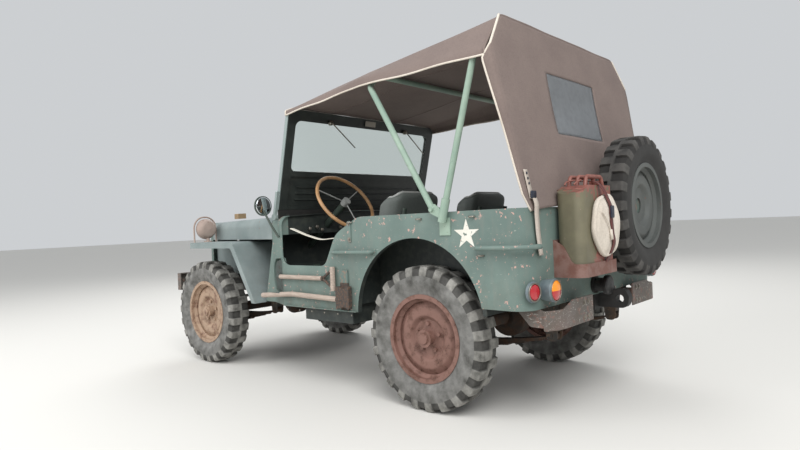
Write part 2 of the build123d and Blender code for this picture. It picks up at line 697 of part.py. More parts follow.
def body_tub():
    wall = along_z(body_plan(0), SILL_Z - 10, RAIL_TOP_Z + 10)
    wall = wall - along_z(body_plan(PANEL), SILL_Z - 20, RAIL_TOP_Z + 20)
    wall = wall & along_x(body_side(), -BODY_HALF_WIDTH - 1, BODY_HALF_WIDTH + 1)
    wall = wall - block((-COWL_HALF_WIDTH + PANEL, COWL_FRONT_Y - COWL_SLOPE - 5, SILL_Z - 20),
                        (COWL_HALF_WIDTH - PANEL, COWL_FRONT_Y - COWL_SLOPE + 20, COWL_SEAM_Z + 1))
    inside = along_z(body_plan(PANEL / 2), SILL_Z, COWL_SEAM_Z)
    low = floor_section(0)
    high = floor_section(PANEL)
    rear_low = [(TAIL_Y, REAR_FLOOR_Z, 0)]
    rear_high = [(TAIL_Y, REAR_FLOOR_Z + PANEL, 0)]
    section = [(y, z, 0) for y, z in low] + rear_low + rear_high
    section = section + [(y, z, 0) for y, z in reversed(high)]
    floor = along_x(section, -BODY_HALF_WIDTH, BODY_HALF_WIDTH) & inside
    wheel_space = block((WHEELHOUSE_INNER_X, WHEELHOUSE_FRONT_Y, SILL_Z - 30),
                        (BODY_HALF_WIDTH - PANEL, WHEELHOUSE_REAR_Y, WHEELHOUSE_TOP_Z - PANEL))
    house = block((WHEELHOUSE_INNER_X - PANEL, WHEELHOUSE_FRONT_Y - PANEL, FLOOR_Z),
                  (BODY_HALF_WIDTH - PANEL / 2, WHEELHOUSE_REAR_Y + PANEL, WHEELHOUSE_TOP_Z))
    locker = block((WHEELHOUSE_INNER_X - PANEL, WHEELHOUSE_REAR_Y, REAR_FLOOR_Z),
                   (BODY_HALF_WIDTH, TAIL_Y, WHEELHOUSE_TOP_Z))
    locker = (locker & inside) - block(
        (WHEELHOUSE_INNER_X, WHEELHOUSE_REAR_Y + PANEL, REAR_FLOOR_Z + PANEL),
        (BODY_HALF_WIDTH - 40, TAIL_Y - 40, WHEELHOUSE_TOP_Z - PANEL))
    arch = Pos(0, REAR_AXLE_Y, ARCH_Z) * Rot(0, 90, 0) * Cylinder(ARCH_R, 300)
    tub = wall + floor + house + locker + mirrored(house) + mirrored(locker)
    for side in (1, -1):
        space = wheel_space if side > 0 else mirrored(wheel_space)
        tub = tub - space
        tub = tub - Pos(side * (BODY_HALF_WIDTH + 150 - PANEL - 1), 0, 0) * arch
    well = block(*tank_well(0)) - block(*tank_well(PANEL))
    tub = (tub - block(*tank_well(PANEL))) + well
    lip = arch_lip() + sill_lip()
    tub = tub + lip + mirrored(lip)
    tub = (tub - tool_recess(0, PANEL + 1)) + tool_recess(-6, 4) + tool_recess(0, RECESS_DEPTH + 3)
    return tub - tool_recess(3, RECESS_DEPTH) - column_clearance()


def arch_lip():
    """Edge of the left rear arch, folded inwards."""
    x = BODY_HALF_WIDTH - 15
    ring = Pos(x, REAR_AXLE_Y, ARCH_Z) * Rot(0, 90, 0) * (Cylinder(ARCH_R + 4, 26) - Cylinder(ARCH_R, 27))
    return ring & along_x(body_side(), x - 20, x + 20)


def sill_lip():
    """Flat lip that stands out along the foot of the left side."""
    return block((BODY_HALF_WIDTH - 2, DOOR_FRONT_Y + 4, SILL_Z), (BODY_HALF_WIDTH + 13, REAR_AXLE_Y - ARCH_R - 6, SILL_Z + 5))


def side_plane():
    """Plane on the cowl's slanting left side: u runs rearwards, v up, and the normal outwards."""
    run = Vector(BODY_HALF_WIDTH - COWL_HALF_WIDTH, DOOR_FRONT_Y - COWL_FRONT_Y, 0).normalized()
    return Plane(origin=(COWL_HALF_WIDTH, COWL_FRONT_Y, 0), x_dir=run, z_dir=run.cross(Vector(0, 0, 1)))


RECESS_DEPTH = 22.0
SHOVEL_Z = 650.0


def tool_recess(inset, depth):
    """Pocket for the shovel's blade, drawn in by inset; a negative inset gives its raised rim."""
    low, high = SHOVEL_Z - 112 + inset, SHOVEL_Z + 112 - inset
    front, rear = 10 + inset, 205 - inset
    face = outline([(front, low + 8, 90 - inset), (rear, low, 30 - inset), (rear, high, 30 - inset),
                    (front, high - 8, 90 - inset)])
    plane = side_plane()
    if inset < 0:
        return extrude(plane.offset(-2) * face, amount=depth)
    return extrude(plane.offset(-depth) * face, amount=depth + (5 if inset or depth < RECESS_DEPTH else 0))


def tank_well(inset):
    """Opposite corners of the well beside the driver's seat that takes the fuel tank."""
    low = (505 + inset, DOOR_FRONT_Y + 178 + inset, WELL_LOW_Z + inset)
    high = (BODY_HALF_WIDTH - 15 - inset, REAR_STEP_Y - inset, FLOOR_Z + PANEL + (1 if inset else 0))
    return low, high


def cowl_section(y, half, inset, drop):
    """Crowned section of the cowl at one y place, inset by a wall and open by drop below."""
    side = half - inset
    shoulder = COWL_SHOULDER_Z - inset
    crown = COWL_TOP_Z - inset
    corners = [(-side, COWL_SEAM_Z - drop, 0), (side, COWL_SEAM_Z - drop, 0), (side, shoulder, 60 - inset),
               (0, crown, 5000), (-side, shoulder, 60 - inset)]
    plane = Plane(origin=(0, y, 0), x_dir=(1, 0, 0), z_dir=(0, -1, 0))
    return plane * outline(corners)


def cowl_side(y):
    """Half width of the cowl at one y place."""
    share = (y - COWL_FRONT_Y) / (DOOR_FRONT_Y - COWL_FRONT_Y)
    return COWL_HALF_WIDTH + (BODY_HALF_WIDTH - COWL_HALF_WIDTH) * share


def column_point(distance):
    """Point on the steering column's axis, measured down from the wheel's hub."""
    pitch = math.radians(COLUMN_PITCH)
    return (WHEEL_HUB_X, WHEEL_HUB_Y - distance * math.cos(pitch),
            WHEEL_HUB_Z - distance * math.sin(pitch))


def column_clearance():
    """Room for the steering column through the dash and the firewall."""
    return bar(column_point(60), column_point(760), COLUMN_R + 4)


def cowl():
    outer = loft([cowl_section(COWL_FRONT_Y, COWL_HALF_WIDTH, 0, 0),
                  cowl_section(DOOR_FRONT_Y, BODY_HALF_WIDTH, 0, 0)])
    inner = loft([cowl_section(COWL_FRONT_Y - 1, COWL_HALF_WIDTH, PANEL, 2),
                  cowl_section(DOOR_FRONT_Y + 1, BODY_HALF_WIDTH, PANEL, 2)])
    shape = loft([cowl_section(COWL_FRONT_Y, COWL_HALF_WIDTH, PANEL / 2, 0),
                  cowl_section(DOOR_FRONT_Y, BODY_HALF_WIDTH, PANEL / 2, 0)])
    dash = block((-BODY_HALF_WIDTH, DOOR_FRONT_Y - 22, COWL_SEAM_Z),
                 (BODY_HALF_WIDTH, DOOR_FRONT_Y - 16, COWL_TOP_Z)) & shape
    wall = block((-BODY_HALF_WIDTH, COWL_FRONT_Y, COWL_SEAM_Z),
                 (BODY_HALF_WIDTH, COWL_FRONT_Y + PANEL, COWL_TOP_Z)) & shape
    return (outer - inner) + dash + wall - column_clearance()


# Bonnet, grille and wings

BONNET_REAR_Y = COWL_FRONT_Y - MOVING_GAP
BONNET_FRONT_Y = GRILLE_Y + GRILLE_DEPTH + MOVING_GAP


def bonnet_section(y, half, shoulder, crown, inset):
    """Section of the bonnet: upright sides, round shoulders and a crowned top."""
    side = half - inset
    low = BONNET_EDGE_Z - (2 if inset else 0)
    corners = [(-side, low, 0), (side, low, 0), (side, shoulder - inset, 58 - inset),
               (0, crown - inset, 4000), (-side, shoulder - inset, 58 - inset)]
    plane = Plane(origin=(0, y, 0), x_dir=(1, 0, 0), z_dir=(0, -1, 0))
    return plane * outline(corners)


def bonnet():
    rear = (COWL_HALF_WIDTH - 1, COWL_SHOULDER_Z, COWL_TOP_Z)
    front = (BONNET_FRONT_HALF, BONNET_FRONT_Z - 20, BONNET_FRONT_Z)
    outer = loft([bonnet_section(BONNET_FRONT_Y, *front, 0), bonnet_section(BONNET_REAR_Y, *rear, 0)])
    inner = loft([bonnet_section(BONNET_FRONT_Y - 2, *front, BONNET_SHEET),
                  bonnet_section(BONNET_REAR_Y + 2, *rear, BONNET_SHEET)])
    return outer - inner


def bonnet_blocks():
    y = FRONT_AXLE_Y - 92
    wood = along_y([(265, 1028, 0), (335, 1026, 0), (335, 1066, 6), (265, 1068, 6)], y - 26, y + 26)
    return wood


def grille():
    low, high, half = GRILLE_LOW_Z, BONNET_FRONT_Z, BONNET_FRONT_HALF
    corners = [(-half + 60, low, 20), (half - 60, low, 20), (half, low + 180, 60), (half, high - 20, 58),
               (0, high, 4000), (-half, high - 20, 58), (-half, low + 180, 60)]
    shell = along_y(corners, GRILLE_Y, GRILLE_Y + GRILLE_DEPTH)
    inner = [(x * (half - 6) / half, low + 6 + (z - low) * (high - low - 12) / (high - low), max(r - 6, 0))
             for x, z, r in corners]
    shell = shell - along_y(inner, GRILLE_Y + 5, GRILLE_Y + GRILLE_DEPTH + 1)
    slot = [(-SLOT_WIDTH / 2, -SLOT_HEIGHT / 2, 14.9), (SLOT_WIDTH / 2, -SLOT_HEIGHT / 2, 14.9),
            (SLOT_WIDTH / 2, SLOT_HEIGHT / 2, 14.9), (-SLOT_WIDTH / 2, SLOT_HEIGHT / 2, 14.9)]
    cutter = along_y(slot, GRILLE_Y - 1, GRILLE_Y + 6)
    for i in range(SLOT_COUNT):
        x = (i - (SLOT_COUNT - 1) / 2) * SLOT_PITCH
        shell = shell - Pos(x, 0, HEADLAMP_Z - 40) * cutter
    for side in (-1, 1):
        hole = Pos(side * HEADLAMP_X, GRILLE_Y, HEADLAMP_Z) * Rot(90, 0, 0)
        shell = shell - hole * Cylinder(HEADLAMP_R + 4, 20)
        small = Pos(side * HEADLAMP_X, GRILLE_Y, HEADLAMP_Z - 160) * Rot(90, 0, 0)
        shell = shell - small * Cylinder(38, 20)
    rail_top = rail_underside(GRILLE_Y) + RAIL_DEPTH + 3
    notch = block((RAIL_HALF_SPAN - RAIL_WIDTH - 2, GRILLE_Y - 1, low - 1),
                  (RAIL_HALF_SPAN + 2, GRILLE_Y + GRILLE_DEPTH + 1, rail_top))
    return shell - notch - mirrored(notch)


def headlamp():
    """Left headlamp bowl and the small lamp under it, behind the grille's round holes."""
    bowl = revolve(outline([(0, 0, 0), (HEADLAMP_R, 10, 0), (HEADLAMP_R, 28, 8), (50, 88, 20), (0, 92, 0)]),
                   Axis.Y)
    small = revolve(outline([(0, 0, 0), (34, 6, 0), (34, 46, 8), (0, 50, 0)]), Axis.Y)
    high = Pos(HEADLAMP_X, GRILLE_Y + 6, HEADLAMP_Z) * bowl
    low = Pos(HEADLAMP_X, GRILLE_Y + 6, HEADLAMP_Z - 160) * small
    bracket = block((HEADLAMP_X - 12, GRILLE_Y + 30, HEADLAMP_Z - 140),
                    (HEADLAMP_X + 12, GRILLE_Y + 42, HEADLAMP_Z - 60))
    return high + low + bracket


def wing():
    """Left front wing: flat top, slanted rear apron, outer skirt and inner splash plate."""
    front, bend, top = WING_FRONT_Y, WING_BEND_Y, WING_TOP_Z
    low_y, low_z = COWL_FRONT_Y - COWL_SLOPE - 6, SILL_Z - 8
    upper = [(front, top - 12, 0), (front + 60, top, 60), (bend, top, 60), (low_y, low_z, 0)]
    run = math.hypot(low_y - bend, low_z - top)
    nose = (WING_SHEET * (top - low_z) / run, WING_SHEET * (low_y - bend) / run)
    lower = [(low_y - nose[0], low_z - nose[1] + 2, 0), (bend - nose[0] * 0.6, top - WING_SHEET, 56),
             (front + 60, top - WING_SHEET, 56), (front, top - 12 - WING_SHEET, 0)]
    sheet = along_x(upper + lower, WING_INNER_X, BODY_HALF_WIDTH)
    skirt_low = [(low_y - WING_SKIRT, low_z, 0), (bend - WING_SKIRT * 0.6, top - WING_SKIRT, 30),
                 (front, top - WING_SKIRT, 0)]
    skirt = along_x(upper + skirt_low, BODY_HALF_WIDTH - WING_SHEET, BODY_HALF_WIDTH)
    splash = block((WING_INNER_X, GRILLE_Y + GRILLE_DEPTH + 4, 610),
                   (WING_INNER_X + WING_SHEET, bend + 10, top - 1))
    whole = sheet + skirt + splash
    corner = along_z([(BODY_HALF_WIDTH - 110, front - 1, 0), (BODY_HALF_WIDTH + 1, front - 1, 0),
                      (BODY_HALF_WIDTH + 1, front + 110, 0)], top - 60, top + 20)
    rear_clear = along_z([(COWL_HALF_WIDTH - 200, COWL_FRONT_Y - COWL_SLOPE - 3, 0),
                          (BODY_HALF_WIDTH + 10, COWL_FRONT_Y - COWL_SLOPE - 3, 0),
                          (BODY_HALF_WIDTH + 10, DOOR_FRONT_Y, 0),
                          (COWL_HALF_WIDTH - 200, DOOR_FRONT_Y, 0)], 440, 900)
    return whole - corner - rear_clear


def driving_lamp():
    """Lamp on the left wing with its post and tube guard."""
    x, y, z = 552.0, FRONT_AXLE_Y - 150, WING_TOP_Z + 97
    hoop_y, hoop_half = y - 36, 90
    bowl = revolve(outline([(0, -40, 0), (76, -34, 0), (77, -20, 4), (60, 26, 30), (0, 40, 0)]), Axis.Y)
    lamp = Pos(x, y, z) * bowl
    post = bar((x, y, WING_TOP_Z), (x, y, z - 55), 12)
    foot = bar((x, y, WING_TOP_Z + 0.2), (x, y, WING_TOP_Z + 8), 30)
    guard = tube([(x - hoop_half, hoop_y, WING_TOP_Z - 8.5), (x - hoop_half, hoop_y, z + hoop_half),
                  (x + hoop_half, hoop_y, z + hoop_half), (x + hoop_half, hoop_y, WING_TOP_Z - 8.5)], 6, 84)
    return lamp + post + foot, guard


# Windscreen

def on_screen(shape):
    """Set a shape drawn upright at y = 0 onto the raked windscreen."""
    return Pos(0, SCREEN_Y, SCREEN_BASE_Z) * Rot(-SCREEN_RAKE, 0, 0) * shape


SCREEN_HEIGHT = (SCREEN_TOP_Z - SCREEN_BASE_Z) / math.cos(math.radians(SCREEN_RAKE))
GLASS_LOW = (GLASS_LOW_Z - SCREEN_BASE_Z) / math.cos(math.radians(SCREEN_RAKE))


def windscreen_frame():
    half, depth = SCREEN_HALF_WIDTH, SCREEN_DEPTH
    frame = along_y([(-half, 8, 0), (half, 8, 0), (half, SCREEN_HEIGHT, 62), (-half, SCREEN_HEIGHT, 62)],
                    -depth / 2, depth / 2)
    inner = half - SCREEN_BAR
    window = along_y([(-inner, GLASS_LOW, 30), (inner, GLASS_LOW, 30),
                      (inner, SCREEN_HEIGHT - SCREEN_BAR, 42), (-inner, SCREEN_HEIGHT - SCREEN_BAR, 42)],
                     -depth, depth)
    frame = frame - window
    recess = along_y([(-inner, 28, 12), (inner, 28, 12), (inner, GLASS_LOW - 34, 12),
                      (-inner, GLASS_LOW - 34, 12)], -depth, depth)
    panel = along_y([(-inner - 1, 26, 0), (inner + 1, 26, 0), (inner + 1, GLASS_LOW - 32, 0),
                     (-inner - 1, GLASS_LOW - 32, 0)], -2, 2)
    frame = (frame - recess) + panel
    for height in (70, 110, 150):
        rib = bar((-inner + 60, 3, height), (inner - 60, 3, height), 6)
        frame = frame + rib
    for side in (-1, 1):
        x = half + 8.5
        frame = frame + Pos(side * x, 0, 30) * Box(19, 18, 180)
        frame = frame + Pos(side * x, 0, -40) * Rot(0, 90, 0) * Cylinder(20, 19)
    return on_screen(frame)


def windscreen_glass():
    inner = SCREEN_HALF_WIDTH - SCREEN_BAR
    glass = along_y([(-inner, GLASS_LOW, 30), (inner, GLASS_LOW, 30),
                     (inner, SCREEN_HEIGHT - SCREEN_BAR, 42), (-inner, SCREEN_HEIGHT - SCREEN_BAR, 42)],
                    -GLASS_THICK / 2, GLASS_THICK / 2)
    return on_screen(glass)


# Canvas top, curtain and bows

BOW_FRONT_Y = FRONT_AXLE_Y + 1729.0
BOW_FRONT_Z = 1759.0
BOW_REAR_Y = REAR_AXLE_Y + 457.0
BOW_REAR_Z = 1860.0
BOW_TOP_HALF = BODY_HALF_WIDTH - 113.0
BOW_KNEE_Z = 1665.0

# Sections of the roof from the windscreen to the rear bow
ROOF = [
    # y, ridge z, half width of the flat, shoulder z, hem z, half width at the hem
    (SCREEN_Y + 118.0, SCREEN_TOP_Z + 22.0, SCREEN_HALF_WIDTH - 55.0, SCREEN_TOP_Z - 4.0, SCREEN_TOP_Z - 34.0,
     SCREEN_HALF_WIDTH + 5.0),
    (BOW_FRONT_Y, BOW_FRONT_Z + 2.0, BODY_HALF_WIDTH - 95.0, BOW_FRONT_Z - 60.0, BOW_FRONT_Z - 100.0,
     CANVAS_HALF_WIDTH),
    (BOW_REAR_Y + 20, BOW_REAR_Z, BOW_TOP_HALF, BOW_KNEE_Z + 18.0, BOW_KNEE_Z - 10.0, CANVAS_HALF_WIDTH),
]


def roof_section(y, ridge, flat, shoulder, hem, side, inset):
    """Closed band or core of the roof at one y place, inset by the canvas."""
    half = side - inset
    return [(-half, y, hem - inset), (half, y, hem - inset), (half, y, shoulder), (flat, y, ridge - inset),
            (-flat, y, ridge - inset), (-half, y, shoulder)]


def roof_span(first, second, inset, extra):
    """Ruled solid between two roof sections, run on by extra at both ends."""
    wires = []
    rows = (first, second)
    for row, way in zip(rows, (-extra, extra)):
        share = way / (second[0] - first[0])
        shifted = [row[i] + share * (second[i] - first[i]) for i in range(len(row))]
        points = [Vector(*p) for p in roof_section(*shifted, inset)]
        wires.append(Wire.make_polygon(points, close=True))
    return Solid.make_loft(wires, ruled=True)


CURTAIN_WRAP = 50.0
CURTAIN_WINDOW = [(-262, 1335), (262, 1335), (262, 1645), (-262, 1645)]
CURTAIN_PANE = [(-261, 1336), (261, 1336), (261, 1644), (-261, 1644)]


def curtain_y(z):
    """Place of the curtain's inner face along the car at one height."""
    rear = ROOF[-1]
    return TAIL_Y + 1 + (z - RAIL_TOP_Z) * (rear[0] - CANVAS - TAIL_Y - 1) / (rear[1] - RAIL_TOP_Z)


def curtain_sheet(table, near, far):
    """Sheet in the rear curtain's slope from an (x, z) table, between two depths."""
    wires = []
    for depth in (near, far):
        points = [Vector(x, curtain_y(z) + depth, z) for x, z in table]
        wires.append(Wire.make_polygon(points, close=True))
    return Solid.make_loft(wires, ruled=True)


def curtain_wing(low, high):
    """Left edge of the curtain, wrapped forward round the corner, from (x, z) at its foot to its top."""
    wires = []
    for x, z in (low, high):
        y = curtain_y(z)
        points = [Vector(x - CANVAS, y - CURTAIN_WRAP, z), Vector(x, y - CURTAIN_WRAP, z), Vector(x, y + CANVAS, z),
                  Vector(x - CANVAS, y + CANVAS, z)]
        wires.append(Wire.make_polygon(points, close=True))
    return Solid.make_loft(wires, ruled=True)


def canvas_top():
    canvas = None
    for first, second in zip(ROOF, ROOF[1:]):
        outer = roof_span(first, second, 0, 0)
        core = roof_span(first, second, CANVAS, 0.5)
        part = outer - core
        canvas = part if canvas is None else canvas + part
    rear = ROOF[-1]
    side = CANVAS_HALF_WIDTH
    hem_half = BODY_HALF_WIDTH - 40
    face = [(-hem_half, CURTAIN_LOW_Z), (hem_half, CURTAIN_LOW_Z), (side, rear[4] - 30), (side, rear[3]),
            (rear[2], rear[1]), (-rear[2], rear[1]), (-side, rear[3]), (-side, rear[4] - 30)]
    curtain = curtain_sheet(face, 0, CANVAS) - curtain_sheet(CURTAIN_WINDOW, -4, CANVAS + 4)
    share = (RAIL_TOP_Z + 3 - CURTAIN_LOW_Z) / (rear[4] - 30 - CURTAIN_LOW_Z)
    wing = curtain_wing((hem_half + (side - hem_half) * share, RAIL_TOP_Z + 3), (side, rear[4] - 30))
    return canvas + curtain + wing + mirrored(wing)


FRONT_FOOT_Y = BOW_PIVOT_Y - 50.0
FRONT_FOOT_Z = BOW_PIVOT_Z + 60.0
SOCKET_LENGTH = 110.0


def bow(foot_y, foot_z, top_y, top_z, knee_z, top_half):
    """One bow: legs from both feet up to the knees and over the roof."""
    knee_share = (knee_z - foot_z) / (top_z - foot_z)
    knee_y = foot_y + (top_y - foot_y) * knee_share
    knee_x = BODY_HALF_WIDTH - 5
    points = [(-BOW_PIVOT_X, foot_y, foot_z), (-knee_x, knee_y, knee_z), (-top_half, top_y, top_z),
              (top_half, top_y, top_z), (knee_x, knee_y, knee_z), (BOW_PIVOT_X, foot_y, foot_z)]
    return tube(points, BOW_R, 55)


def bow_bracket():
    """Left bracket: the rear bow's socket, the front bow's tab, its bolt and the plate on the body."""
    x, y, z = BOW_PIVOT_X, BOW_PIVOT_Y, BOW_PIVOT_Z
    way = Vector(BODY_HALF_WIDTH - 5 - x, BOW_REAR_Y - 12 - y, BOW_REAR_Z - z).normalized()
    socket = bar((x, y, z), tuple(Vector(x, y, z) + way * SOCKET_LENGTH), BOW_R + 5)
    tab = along_x([(FRONT_FOOT_Y - 16, FRONT_FOOT_Z + 22, 8), (FRONT_FOOT_Y + 16, FRONT_FOOT_Z + 26, 8), (y + 26, z + 40, 8),
                   (y + 10, z + 12, 8), (FRONT_FOOT_Y - 12, FRONT_FOOT_Z - 16, 8)], x + 2, x + 9)
    stud = bar((x, FRONT_FOOT_Y, FRONT_FOOT_Z), (x + 21, FRONT_FOOT_Y, FRONT_FOOT_Z), 10)
    pivot = bar((BODY_HALF_WIDTH, y, z), (x + 27.5, y, z), 20)
    plate = block((BODY_HALF_WIDTH, y - 30, z - 62), (BODY_HALF_WIDTH + 6, y + 30, z + 20))
    return socket + tab + stud + pivot + plate


def top_bows():
    rear = bow(BOW_PIVOT_Y, BOW_PIVOT_Z, BOW_REAR_Y - 12, BOW_REAR_Z - CANVAS - BOW_R - 5, BOW_KNEE_Z,
               BOW_TOP_HALF - 16)
    front = bow(FRONT_FOOT_Y, FRONT_FOOT_Z, BOW_FRONT_Y + 6, BOW_FRONT_Z - CANVAS - BOW_R - 5,
                BOW_FRONT_Z - 110, BOW_TOP_HALF - 8)
    bracket = bow_bracket()
    return rear + front + bracket + mirrored(bracket)


# Seats and tank

def seat_back_plane(x, front_y):
    return Pos(x, front_y + SEAT_DEPTH - 20, BACK_LOW_Z) * Rot(-BACK_LEAN, 0, 0)


def seat_pads(x, front_y):
    """Plain closed cushion and the back pad, whose sides wrap forward, of one front seat."""
    half = CUSHION_WIDTH / 2
    rear_y = front_y + SEAT_DEPTH - 22
    cushion = along_z([(-half, front_y, 60), (half, front_y, 60), (half, rear_y, 40), (-half, rear_y, 40)],
                      CUSHION_Z, CUSHION_Z + CUSHION_THICK)
    half, bolster = BACK_WIDTH / 2, 48
    height = BACK_TOP_Z - BACK_LOW_Z
    plan = along_z([(-half, -BACK_WRAP, 18), (-half + bolster, -BACK_WRAP, 18), (-half + bolster + 8, 0, 50),
                    (half - bolster - 8, 0, 50), (half - bolster, -BACK_WRAP, 18), (half, -BACK_WRAP, 18),
                    (half, BACK_THICK, 70), (-half, BACK_THICK, 70)], -1, height + 1)
    face = along_y([(-half, 0, 30), (half, 0, 30), (half, height, 95), (-half, height, 95)],
                   -BACK_WRAP - 1, BACK_THICK + 1)
    return Pos(x, 0, 0) * cushion, seat_back_plane(x, front_y) * (plan & face)


def seat_frame(x, front_y):
    """Bent tube frame of one front seat: legs, pan tubes and uprights behind the back pad."""
    half = CUSHION_WIDTH / 2 - SEAT_TUBE_R
    pan_z = CUSHION_Z - SEAT_TUBE_R - 1
    behind = BACK_THICK + SEAT_TUBE_R + 1
    y_front = front_y + 50
    frame = None
    for sign in (-1, 1):
        low = (seat_back_plane(x, front_y) * Pos(sign * half, behind, -60)).position
        high = (seat_back_plane(x, front_y) * Pos(sign * half, behind, 150)).position
        slope = (high.Y - low.Y) / (high.Z - low.Z)
        y_back = low.Y - (low.Z - pan_z) * slope
        side = x + sign * half
        run = tube([(side, y_front, FLOOR_Z + PANEL), (side, y_front, pan_z), (side, y_back, pan_z), high],
                   SEAT_TUBE_R, 40)
        leg = bar((side, y_back - 70, REAR_FLOOR_Z + PANEL), (side, y_back - 70, pan_z), SEAT_TUBE_R)
        frame = run + leg if frame is None else frame + run + leg
    for y in (y_front + 60, front_y + SEAT_DEPTH - 80):
        frame = frame + bar((x - half, y, pan_z), (x + half, y, pan_z), SEAT_TUBE_R)
    return frame


REAR_SEAT_Y = REAR_AXLE_Y + 110.0
REAR_SEAT_HALF = 430.0


def rear_pads():
    half = REAR_SEAT_HALF
    cushion = along_z([(-half, REAR_SEAT_Y, 40), (half, REAR_SEAT_Y, 40), (half, REAR_SEAT_Y + 360, 30),
                       (-half, REAR_SEAT_Y + 360, 30)], 770, 840)
    back = block((-half, TAIL_Y - 130, 845), (half, TAIL_Y - 75, 970))
    return cushion, back


def rear_seat_frame():
    half = REAR_SEAT_HALF - 50
    frame = None
    for sign in (-1, 1):
        leg = tube([(sign * half, REAR_SEAT_Y + 40, REAR_FLOOR_Z + PANEL), (sign * half, REAR_SEAT_Y + 40, 756),
                    (sign * half, TAIL_Y - 60, 756), (sign * half, TAIL_Y - 60, 950)], SEAT_TUBE_R, 50)
        frame = leg if frame is None else frame + leg
    frame = frame + bar((-half, REAR_SEAT_Y + 110, 756), (half, REAR_SEAT_Y + 110, 756), SEAT_TUBE_R)
    return frame + bar((-half, TAIL_Y - 60, 900), (half, TAIL_Y - 60, 900), SEAT_TUBE_R)


def fuel_tank():
    """Tank that stands in its well and reaches under the driver's seat, behind its front legs."""
    low, high = tank_well(PANEL + 4)
    base, back = WELL_LOW_Z + PANEL, REAR_STEP_Y - PANEL - 8
    whole = along_y([(low[0], base, 12), (high[0], base, 12), (high[0], 600, 40), (640, 662, 40),
                     (170, 662, 30), (170, FLOOR_Z + PANEL + 4, 8), (low[0], FLOOR_Z + PANEL + 4, 0)],
                    SEATS[0][1] + 75, back)
    return whole + along_y([(low[0], base, 12), (high[0], base, 12), (high[0], 590, 30), (low[0], 590, 30)],
                           low[1], back)


# Steering

SPOKE_R = 3.5


def steering_wheel():
    """Rim, three spokes and hub about Z, then set on the column."""
    ring = Torus(STEERING_WHEEL_R - 11, 11)
    hub = Cylinder(26, 40)
    wheel = ring + hub
    for i in range(3):
        spoke = bar((20, 0, 0), (STEERING_WHEEL_R - 14, 0, 0), SPOKE_R)
        wheel = wheel + Rot(0, 0, 120 * i + 90) * spoke
    return Pos(*column_point(0)) * Rot(-(90 - COLUMN_PITCH), 0, 0) * wheel


def steering_column():
    column = bar(column_point(26), column_point(COLUMN_LENGTH), COLUMN_R)
    end = column_point(COLUMN_LENGTH)
    box = block((PITMAN_X + 24, PITMAN_Y - 70, PITMAN_Z - 62), (end[0] + 50, PITMAN_Y + 90, PITMAN_Z + 62))
    return column + box


PITMAN_X = BELLCRANK_X + DRAG_ARM + 22.0
LINK_R = 11.0


def pitman_arm():
    arm = along_x([(PITMAN_Y - 26, PITMAN_Z + 26, 25), (PITMAN_Y + 26, PITMAN_Z + 26, 25),
                   (PITMAN_Y + 17, PITMAN_Z - PITMAN_LENGTH - 17, 16),
                   (PITMAN_Y - 17, PITMAN_Z - PITMAN_LENGTH - 17, 16)], PITMAN_X, PITMAN_X + 18)
    stud = bar((PITMAN_X - 5, PITMAN_Y, PITMAN_Z - PITMAN_LENGTH),
               (PITMAN_X, PITMAN_Y, PITMAN_Z - PITMAN_LENGTH), 8)
    return arm + stud


def bellcrank():
    top = BELLCRANK_LOW_Z + ARM_THICK
    forward = [(-20, 20, 19), (20, 20, 0), (18, -STEER_ARM - 18, 17), (-18, -STEER_ARM - 18, 17)]
    sideways = [(-20, -20, 0), (DRAG_ARM + 18, -18, 17), (DRAG_ARM + 18, 18, 17), (-20, 20, 19)]
    plate = along_z(forward, BELLCRANK_LOW_Z, top) + along_z(sideways, BELLCRANK_LOW_Z, top)
    plate = plate + bar((0, -STEER_ARM, BELLCRANK_LOW_Z - 30), (0, -STEER_ARM, top - 1), 8)
    plate = plate + bar((DRAG_ARM, 0, BELLCRANK_LOW_Z - 30), (DRAG_ARM, 0, top - 1), 8)
    plate = plate - bar((0, 0, BELLCRANK_LOW_Z - 40), (0, 0, top + 10), KINGPIN_R + RUNNING)
    return Pos(BELLCRANK_X, FRONT_AXLE_Y, 0) * plate


def eye(x, y):
    """Rod end round a downward stud, 5 mm under the arm that carries the stud."""
    high = BELLCRANK_LOW_Z - MOVING_GAP
    ring = bar((x, y, high - 24), (x, y, high), 20)
    return ring, bar((x, y, high - 30), (x, y, high + 1), 8 + 1)


def tie_rods():
    y = FRONT_AXLE_Y - STEER_ARM
    z = BELLCRANK_LOW_Z - MOVING_GAP - 12
    rods = bar((-KINGPIN_X, y, z), (KINGPIN_X, y, z), LINK_R)
    holes = []
    for x in (-KINGPIN_X, BELLCRANK_X, KINGPIN_X):
        ring, hole = eye(x, y)
        rods = rods + ring
        holes.append(hole)
    for hole in holes:
        rods = rods - hole
    return rods


def drag_link():
    x = BELLCRANK_X + DRAG_ARM
    ring, hole = eye(x, FRONT_AXLE_Y)
    z = BELLCRANK_LOW_Z - MOVING_GAP - 12
    far_z = PITMAN_Z - PITMAN_LENGTH
    rod = bar((x, FRONT_AXLE_Y, z), (x, PITMAN_Y, far_z), LINK_R - 2)
    end = bar((x - 14, PITMAN_Y, far_z), (PITMAN_X - 5.5, PITMAN_Y, far_z), 16)
    return rod + ring + end - hole


PEDALS_X = [205.0, 285.0, 425.0]
LEVERS = [
    # x, y behind the door's front edge, height above the floor
    (0.0, 60.0, 250.0),
    (-95.0, 150.0, 170.0),
    (-140.0, 150.0, 170.0),
]


